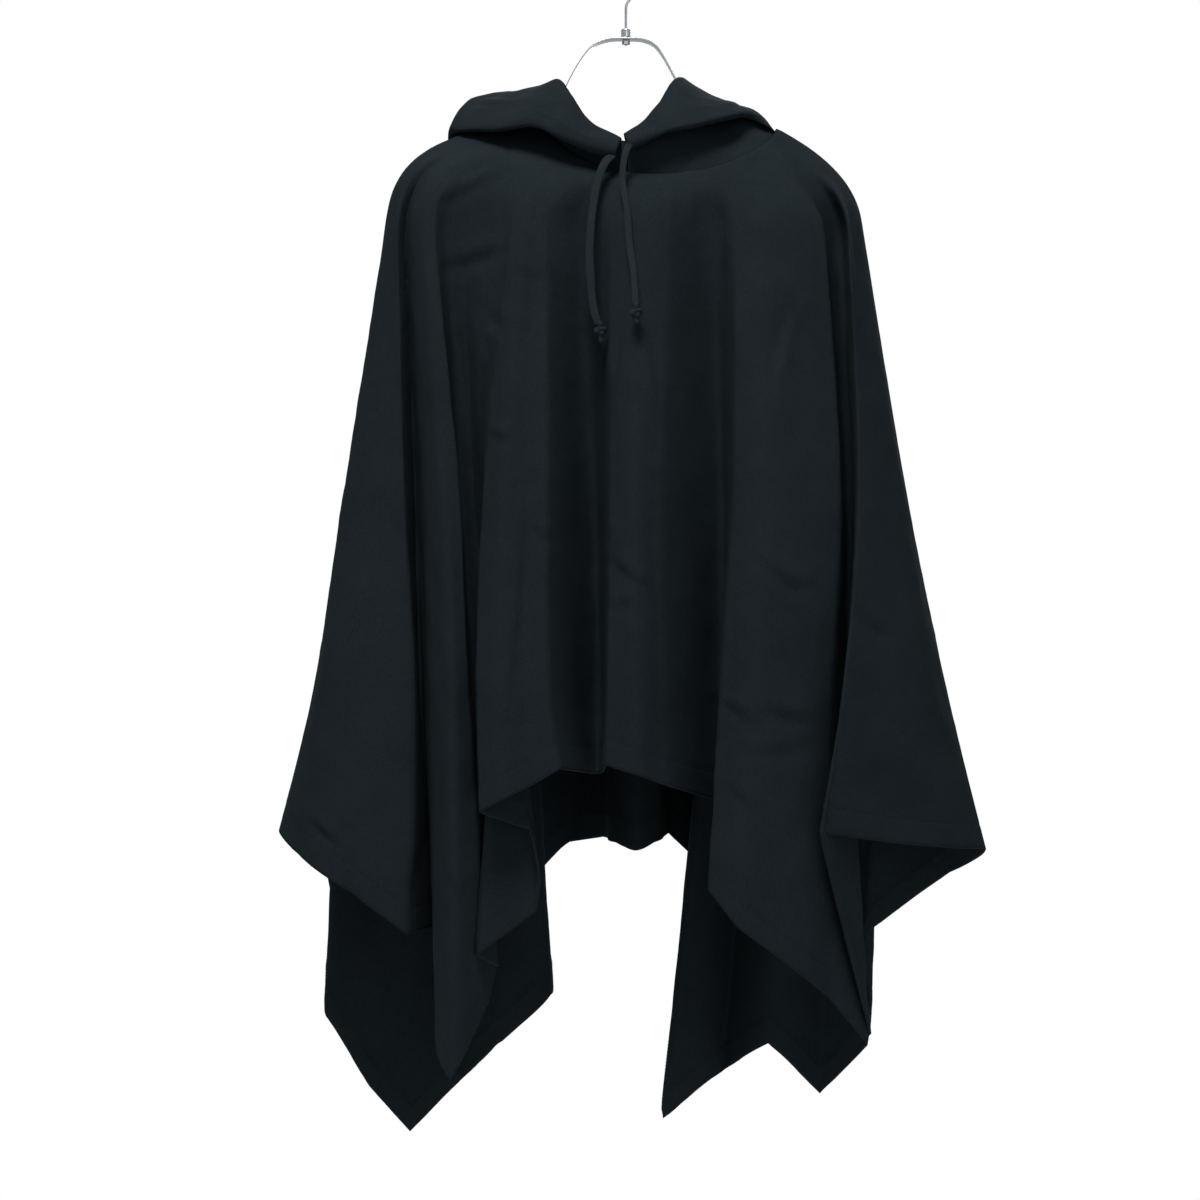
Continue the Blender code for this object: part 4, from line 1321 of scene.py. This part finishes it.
@dataclass
class HoodCloth:
    """The dropped hood in two halves, joined at the back, with its casing along the face edge."""

    profile_steps: int = 13
    stop_steps: int = 14
    seam_rows: tuple[float, ...] = (0.0, 0.02, 0.05, 0.09)
    uneven: tuple[Triple, ...] = ((1.5, 34, 0), (0.6, 13, 5))       # amount, length, shift of seed

    def points(self, places: np.ndarray) -> np.ndarray:
        """Draw the hood between its profiles.

        Args:
            places: the place of each column along the profiles.

        Returns:
            Columns of points, by levels up from the neck.
        """
        angles = np.interp(places, np.arange(len(HOOD_PROFILES)), [p.angle for p in HOOD_PROFILES])
        neck = neck_points(angles)
        inward = unit((np.array([NECK_X, 0, 0]) - neck) * np.array([1, 1, 0]))
        stops = [neck + inward * HOOD_TUCK[0] - np.array([0, 0, HOOD_TUCK[1]])]
        table = np.array([profile[2:] for profile in HOOD_PROFILES], float)
        for index in range(table.shape[1]):
            stops.append(spline(table[:, index:index + 1], places)[:, 0])
        levels = np.arange((len(stops) - 1) * self.stop_steps + 1) / self.stop_steps
        return np.swapaxes(spline(np.array(stops), levels), 0, 1)

    def grid(self, panel: Panel, first: float, last: float) -> ClothGrid:
        """Make one half of the hood.

        Args:
            panel: which one.
            first: the place of its first profile.
            last: the place of its last profile.

        Returns:
            The half's cloth.
        """
        steps = int(round((last - first) * self.profile_steps))
        places = np.linspace(first, last, steps + 1)
        close = np.array(self.seam_rows)
        if panel is Panel.HOOD_LEFT:
            places = np.concatenate([places[:-2], last - close[::-1]])
        else:
            places = np.concatenate([first + close, places[2:]])
        points = self.points(places)
        column, neighbour = (-1, -2) if panel is Panel.HOOD_LEFT else (0, 1)
        points[column] += unit(points[neighbour] - points[column]) * SEAM_GAP / 2
        cloth = ClothGrid(panel, points, np.full(points.shape[:2], WALL))
        for crease in CREASES[panel]:
            cloth.crease(crease, np.ones(points.shape[:2]))
        up = lengths_along(cloth.points, 1)
        edge = up[:, -1:] - up
        across = lengths_along(cloth.points, 0)
        from_nape = across[-1:] - across if panel is Panel.HOOD_LEFT else across
        ease = np.clip(up / 20, 0, 1) * np.clip(from_nape / 12, 0, 1)
        seed = 5.3 if panel is Panel.HOOD_LEFT else 23.9
        for amount, length, shift in self.uneven:
            cloth.wander(amount * ease, length, length, seed + shift)
        cloth.groove(from_nape, width=1.5, depth=0.8)
        cloth.groove(np.abs(edge - CASING_STITCH), width=1.6, depth=0.5)
        cloth.groove(up, width=1.6, depth=0.4)
        return cloth

    def casing_path(self, cloth: ClothGrid) -> Path:
        """Find where the casing's stitches run on the outer side.

        Args:
            cloth: the cloth.

        Returns:
            Their path.
        """
        up = lengths_along(cloth.points, 1)
        edge = up[:, -1:] - up
        places = []
        for row in edge[1:-1]:
            places.append(np.interp(-CASING_STITCH, -row, np.arange(len(row))))
        trimmed = ClothGrid(cloth.panel, cloth.points[1:-1], cloth.wall[1:-1])
        return trimmed.path(np.array(places))

    def build(self) -> dict[Panel, ClothGrid]:
        """Make the two halves.

        Returns:
            The two cloths.
        """
        last = float(len(HOOD_PROFILES) - 1)
        return {
            Panel.HOOD_LEFT: self.grid(Panel.HOOD_LEFT, 0.0, float(NAPE_INDEX)),
            Panel.HOOD_RIGHT: self.grid(Panel.HOOD_RIGHT, float(NAPE_INDEX), last),
        }


def carried_frames(points: np.ndarray, first_side: np.ndarray) -> Path:
    """Carry a side direction along a path without twist.

    Args:
        points: the path.
        first_side: a direction at its start.

    Returns:
        The side and the upward direction at each point.
    """
    ahead = unit(np.gradient(points, axis=0))
    sides = []
    side = first_side
    for way in ahead:
        side = unit(side - way * np.dot(side, way))
        sides.append(side)
    sides = np.array(sides)
    return sides, np.cross(ahead, sides)


@dataclass
class Sweep:
    """A section swept along a path, with domed ends."""

    width: float
    thickness: float
    square: float = 1.0
    sides: int = 16

    def section(self) -> np.ndarray:
        """Draw the section as a superellipse, round at 1 and squarer below it.

        Returns:
            Its points.
        """
        angle = np.linspace(0, 2 * math.pi, self.sides, endpoint=False)
        across, up = np.cos(angle), np.sin(angle)
        shape = np.stack([np.sign(across) * np.abs(across) ** self.square,
                          np.sign(up) * np.abs(up) ** self.square], axis=1)
        return shape * np.array([self.width / 2, self.thickness / 2])

    def mesh(self, name: str, points: np.ndarray, first_side: Triple,
             swell: Optional[Callable[[np.ndarray], np.ndarray]] = None) -> bpy.types.Mesh:
        """Sweep the section and close its ends with domes.

        Args:
            name: the mesh's name.
            points: the path in millimetres.
            first_side: the direction of the section's width at the start.
            swell: the section's scale at each distance along the path, if it isn't 1.

        Returns:
            A closed mesh with a UV map of distance round and along.
        """
        run = lengths_along(points[None], 1)[0]
        sides, ups = carried_frames(points, unit(np.array(first_side, float)))
        ahead = unit(np.gradient(points, axis=0))
        section = self.section()
        scale = swell(run) if swell else np.ones(len(points))
        dome = self.thickness / 2
        rings = []
        turns = np.radians(DOME_TURNS)
        for turn in turns[::-1]:
            rings.append((points[0] - ahead[0] * dome * math.sin(turn), 0, math.cos(turn) * scale[0]))
        rings += [(point, index, scale[index]) for index, point in enumerate(points)]
        for turn in turns:
            rings.append((points[-1] + ahead[-1] * dome * math.sin(turn), -1, math.cos(turn) * scale[-1]))
        ring_points = [centre + (section[:, :1] * sides[i] + section[:, 1:] * ups[i]) * size
                       for centre, i, size in rings]
        tips = [points[0] - ahead[0] * dome, points[-1] + ahead[-1] * dome]
        vertices = np.concatenate([np.concatenate(ring_points), np.array(tips)]) * MM
        count, n = len(rings), self.sides
        faces = [(r * n + s, r * n + (s + 1) % n, (r + 1) * n + (s + 1) % n, (r + 1) * n + s)
                 for r in range(count - 1) for s in range(n)]
        faces += [(count * n, (s + 1) % n, s) for s in range(n)]
        faces += [(count * n + 1, (count - 1) * n + s, (count - 1) * n + (s + 1) % n) for s in range(n)]
        mesh = bpy.data.meshes.new(name)
        mesh.from_pydata(vertices.tolist(), [], faces)
        around = lengths_along(np.vstack([section, section[:1]])[None], 1)[0]
        layer = mesh.uv_layers.new(name="flat_pattern")
        for face in mesh.polygons:
            for corner in face.loop_indices:
                vertex = mesh.loops[corner].vertex_index
                ring, step = divmod(vertex, n)
                place = run[min(max(ring - len(turns), 0), len(run) - 1)]
                closing = step == 0 and any(
                    mesh.loops[c].vertex_index % n == n - 1 for c in face.loop_indices)
                layer.data[corner].uv = ((around[n] if closing else around[step]) * MM, place * MM)
        mesh.shade_smooth()
        return mesh


@dataclass
class DrawTie:
    """One end of the drawstring: a narrow flat tube of the cloak's own cloth, knotted at its end."""

    side: Side
    route: tuple[Triple, ...]
    width: float
    thickness: float = 3.0
    steps: int = 7
    knot_radius: float = 4.5
    knot_cord: float = 5.4
    knot_flat: float = 0.84                     # thickness over width of the knot's cord
    knot_turns: float = 0.62                    # of the knot's curve, to each side
    knot_scale: Triple = (0.33, 0.24, 0.55)     # of the same curve, in radii
    knot_drop: float = 8.0                      # of the knot's middle, below the tie

    def centre(self) -> np.ndarray:
        """Return the tie's centre line in millimetres."""
        stops = np.array(self.route, float)[:, None]
        return spline(stops, np.arange((len(stops) - 1) * self.steps + 1) / self.steps)[:, 0]

    def knot(self, end: np.ndarray, fall: np.ndarray) -> Piece:
        """Make the overhand knot and its short tail.

        Args:
            end: the tie's lower end.
            fall: the direction in which it hangs there.

        Returns:
            The knot.
        """
        turn = np.linspace(-self.knot_turns, self.knot_turns, 61) * 2 * math.pi
        loops = np.stack([np.sin(turn) + 2 * np.sin(2 * turn), np.cos(turn) - 2 * np.cos(2 * turn),
                          -np.sin(3 * turn)], axis=1)
        loops = loops * np.array(self.knot_scale) * self.knot_radius
        tilt = np.array([[1, 0, 0], [0, 0, -1], [0, 1, 0]], float)
        loops = loops @ tilt.T
        entry = np.array([[0, 0, self.knot_drop], [0.2, 0, 6.6]])
        tail = np.array([[0.6, -0.4, -5.6], [1.0, -0.7, -7.4], [1.1, -0.8, -9.0]])
        order = loops[::-1] if loops[0][2] < loops[-1][2] else loops
        stops = np.concatenate([entry, order[4:-4:3], tail])
        path = spline(stops[:, None], np.arange((len(stops) - 1) * 4 + 1) / 4)[:, 0]
        place = end + fall * self.knot_drop
        name = f"tie_{self.side.value}_knot"
        mesh = Sweep(self.knot_cord, self.knot_cord * self.knot_flat).mesh(name, path + place, (1, 0, 0))
        # The knot takes the ties' lighter wool, with its painted sheen.
        return dressed(linked(name, mesh), TIE_PAINTED_SHEEN_FINISH, f"knot_{self.side.value}")

    def build(self) -> Piece:
        """Returns:
            The tie.
        """
        centre = self.centre()
        fall = unit(centre[-1] - centre[-2])

        def swell(run: np.ndarray) -> np.ndarray:
            """Return how the tie's width wavers along it."""
            return 1 + 0.05 * np.sin(run / 17 + len(self.route)) + 0.03 * np.sin(run / 6.1)

        name = f"tie_{self.side.value}_cloth"
        mesh = Sweep(self.width, self.thickness, square=0.8, sides=20).mesh(name, centre, (1, 0, 0), swell)
        # The tie takes the lighter wool, with its painted sheen.
        made = dressed(linked(name, mesh), TIE_PAINTED_SHEEN_FINISH, f"tie_{self.side.value}")
        knot = self.knot(centre[-1], fall)
        return made


@dataclass
class Hanger:
    """Flat-strip steel hanger with a round wire hook, a ferrule and a nut."""

    strip_depth: float = 15.0
    wire: float = 2.8
    hook_radius: float = 20.0
    tip_angle: float = 205.0
    stem_bend_z: float = -50.0
    ferrule: float = 10.0
    ferrule_height: float = 9.0
    nut: float = 8.0
    nut_height: float = 4.0
    seat: float = 0.3
    sag_neck: float = 9.0
    sag_end: float = 4.2
    arm_end: float = 0.60
    arm_steps: int = 24
    seam_samples: int = 200        # of the shoulder seam above an arm

    def arm(self, fold: FoldLine, angle: float) -> np.ndarray:
        """Lead an arm's strip under one shoulder seam.

        Args:
            fold: the seam.
            angle: its degrees round the neck.

        Returns:
            The strip's middle, from the neck outwards.
        """
        rows = np.arange(self.seam_samples + 1)
        ridge = BodyCloth(yoke_rows=self.seam_samples).line(fold, angle)[rows]
        stops = np.linspace(0, self.arm_end * self.seam_samples, self.arm_steps + 1)
        points = np.stack([np.interp(stops, rows, ridge[:, axis]) for axis in range(3)], axis=1)
        ahead = np.gradient(points, axis=0)
        inward = unit(np.stack([ahead[:, 2], np.zeros(len(points)), -ahead[:, 0]], axis=1))
        inward *= np.where(inward[:, 2:] < 0, 1, -1)
        sag = np.linspace(self.sag_neck, self.sag_end, len(points))[:, None]
        return points + inward * (sag + STRIP_THICKNESS / 2)

    def strip_route(self) -> np.ndarray:
        """Lead the strip from arm to arm.

        Returns:
            Its middle line.
        """
        left = self.arm(FRONT_FOLDS[0], 180)[::-1]
        right = self.arm(FRONT_FOLDS[-1], 0)
        arch = [(x, 0.0, z) for x, z in ARCH_ROUTE]
        middle = np.array([tuple(left[-1]), *arch, tuple(right[0])])[:, None]
        bend = spline(middle, np.arange((len(middle) - 1) * 6 + 1) / 6)[:, 0]
        route = np.concatenate([left[:-1], bend, right[1:]])
        for _ in range(3):
            route[1:-1] = (route[:-2] + route[2:] + 2 * route[1:-1]) / 4
        return route

    def hook_route(self) -> np.ndarray:
        """Lead the wire up the stem and round the hook.

        Returns:
            Its centre line.
        """
        centre_z = self.wire / 2 - self.hook_radius
        foot_z = ARCH_TOP_Z - STRIP_THICKNESS - self.nut_height
        stem = [(STEM_X, 0.0, z) for z in np.linspace(foot_z, self.stem_bend_z, 9)]
        share = np.arange(1, 16) / 16
        sway = 3 * share ** 2 - 2 * share ** 3
        lean = np.stack([STEM_X + (self.hook_radius - STEM_X) * sway, np.zeros(15),
                         self.stem_bend_z + (centre_z - self.stem_bend_z) * share], axis=1)
        angle = np.radians(np.linspace(0, self.tip_angle, 50))
        loop = np.stack([self.hook_radius * np.cos(angle), np.zeros(50),
                         centre_z + self.hook_radius * np.sin(angle)], axis=1)
        return np.concatenate([np.array(stem), lean, loop])

    @staticmethod
    def turned(name: str, outline: Sequence[Pair], sides: int) -> bpy.types.Mesh:
        """Turn an outline about the stem, closed through its bore.

        Args:
            name: the mesh's name.
            outline: radii and heights.
            sides: how many sides it has round the stem.

        Returns:
            The turned mesh.
        """
        angles = np.linspace(0, 2 * math.pi, sides, endpoint=False)
        points = [(STEM_X + r * math.cos(a), r * math.sin(a), z) for r, z in outline for a in angles]
        rows = len(outline)
        faces = [(r * sides + s, r * sides + (s + 1) % sides,
                  ((r + 1) % rows) * sides + (s + 1) % sides, ((r + 1) % rows) * sides + s)
                 for r in range(rows) for s in range(sides)]
        mesh = bpy.data.meshes.new(name)
        mesh.from_pydata((np.array(points) * MM).tolist(), [], faces)
        return mesh

    def collar(self, radius: float, low: float, high: float, round_off: float) -> list[Pair]:
        """Outline a collar on the stem, with rounded outer corners.

        Args:
            radius: its outer radius.
            low: the height of its foot.
            high: the height of its top.
            round_off: the radius of its corners.

        Returns:
            Radii and heights, from the foot of the bore to its top.
        """
        bore = self.wire / 2 + self.seat
        turn = np.radians(np.linspace(0, 90, 5))
        upper = [(radius - round_off * (1 - math.cos(t)), high - round_off * (1 - math.sin(t))) for t in turn]
        lower = [(r, low + high - z) for r, z in reversed(upper)]
        return [(bore, low), *lower, *upper, (bore, high)]

    def build(self) -> list[Piece]:
        """Make the strip, the hook, the ferrule and the nut.

        Returns:
            The four pieces.
        """
        low = ARCH_TOP_Z + self.seat
        high = ARCH_TOP_Z - STRIP_THICKNESS - self.seat
        strip = Sweep(self.strip_depth, STRIP_THICKNESS, square=0.18, sides=40)
        wire = Sweep(self.wire, self.wire, sides=20)
        ferrule = self.collar(self.ferrule / 2, low, low + self.ferrule_height, 1.2)
        nut = self.collar(self.nut / 2, high - self.nut_height, high, 0.5)
        meshes = {
            "hanger_strip": strip.mesh("hanger_strip_steel", self.strip_route(), (0, 1, 0)),
            "hanger_hook": wire.mesh("hanger_hook_steel", self.hook_route(), (0, 1, 0)),
            "hanger_ferrule": self.turned("hanger_ferrule_steel", ferrule, 40),
            "hanger_nut": self.turned("hanger_nut_steel", nut, 6),
        }
        meshes["hanger_ferrule"].shade_smooth()
        return [dressed(linked(mesh.name, mesh), SteelFinish(), node)
                for node, mesh in meshes.items()]


class Lamp(NamedTuple):
    """A soft square light: its place and size in metres, and its power in watts."""

    name: str
    place: Triple
    size: float
    power: float


LAMPS = (
    Lamp("key", (-0.35, -1.6, 2.35), 1.0, 160.0),
    Lamp("fill", (0.9, -3.4, 0.2), 1.6, 10.0),
    Lamp("back", (0.6, 2.8, 0.8), 2.0, 70.0),
)


@dataclass
class Studio:
    """Pale floor, white surroundings, soft lights and the camera."""

    camera_place: Triple = (-0.027, -3.0, -0.642)
    lens: float = 90.0
    sensor: float = 36.0
    aim: Triple = (0.0, 0.0, -0.6)      # of the lights
    floor_z: float = -1.75
    floor_size: float = 4.0
    backdrop: Triple = (1.0, 1.0, 1.0)
    surround: Triple = (0.45, 0.48, 0.50)

    def camera(self) -> None:
        """Place the camera level with the middle of the cloak, looking along +Y."""
        data = bpy.data.cameras.new("camera")
        data.lens = self.lens
        data.sensor_width = self.sensor
        made = linked("camera", data)
        made.location = self.camera_place
        made.rotation_euler = (math.radians(90), 0.0, 0.0)
        bpy.context.scene.camera = made

    def floor(self) -> None:
        """Lay the floor below the hem."""
        half = self.floor_size / 2
        mesh = bpy.data.meshes.new("floor")
        corners = [(x * half, y * half, self.floor_z) for x, y in ((-1, -1), (1, -1), (1, 1), (-1, 1))]
        mesh.from_pydata(corners, [], [(0, 1, 2, 3)])
        mesh.materials.append(FloorFinish().material())
        linked("floor", mesh)

    def hang(self, lamp: Lamp) -> None:
        """Hang one light, turned to the cloak.

        Args:
            lamp: what it is and where.
        """
        data = bpy.data.lights.new(lamp.name, "AREA")
        data.shape = "SQUARE"
        data.size = lamp.size
        data.energy = lamp.power
        made = linked(lamp.name, data)
        made.location = lamp.place
        made.rotation_mode = "QUATERNION"
        made.rotation_quaternion = (Vector(self.aim) - Vector(lamp.place)).to_track_quat("-Z", "Y")

    def build(self) -> None:
        """Set the whole stage."""
        scene = bpy.context.scene
        scene.view_settings.view_transform = "Standard"
        world = bpy.data.worlds.new("white_surroundings")
        scene.world = world
        world.use_nodes = True
        nodes = Nodes(world.node_tree)
        sky = world.node_tree.nodes["Background"]
        seen = nodes.add("ShaderNodeLightPath").outputs["Is Camera Ray"]
        nodes.join(nodes.ramp(seen, ((0.0, self.surround), (1.0, self.backdrop))), sky.inputs["Color"])
        self.camera()
        self.floor()
        for lamp in LAMPS:
            self.hang(lamp)


def main() -> None:
    """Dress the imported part, one class after another."""
    logging.basicConfig(level=logging.INFO, format="%(name)s: %(message)s")
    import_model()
    Studio().build()
    ties = (DrawTie(Side.LEFT, TIE_LEFT_ROUTE, width=8.0),
            DrawTie(Side.RIGHT, TIE_RIGHT_ROUTE, width=6.6))
    for tie in ties:
        LOG.info("made %s", tie.build().name)
    body, hood = BodyCloth(), HoodCloth()
    grids = {**body.build(), **hood.build()}
    cloths, sewing = {}, {}
    for panel, grid in grids.items():
        cloths[panel] = grid.shell(f"{panel.value}_cloth")
        paths = body.hem_paths(grid) if panel in (Panel.FRONT, Panel.BACK) else [hood.casing_path(grid)]
        sewing[panel] = StitchRun().sew(f"{panel.value}_stitches", paths)
        LOG.info("made %s with %d faces", cloths[panel].name, len(cloths[panel].data.polygons))
    for piece in Hanger().build():
        LOG.info("made %s", piece.name)


if __name__ == "__main__":
    main()
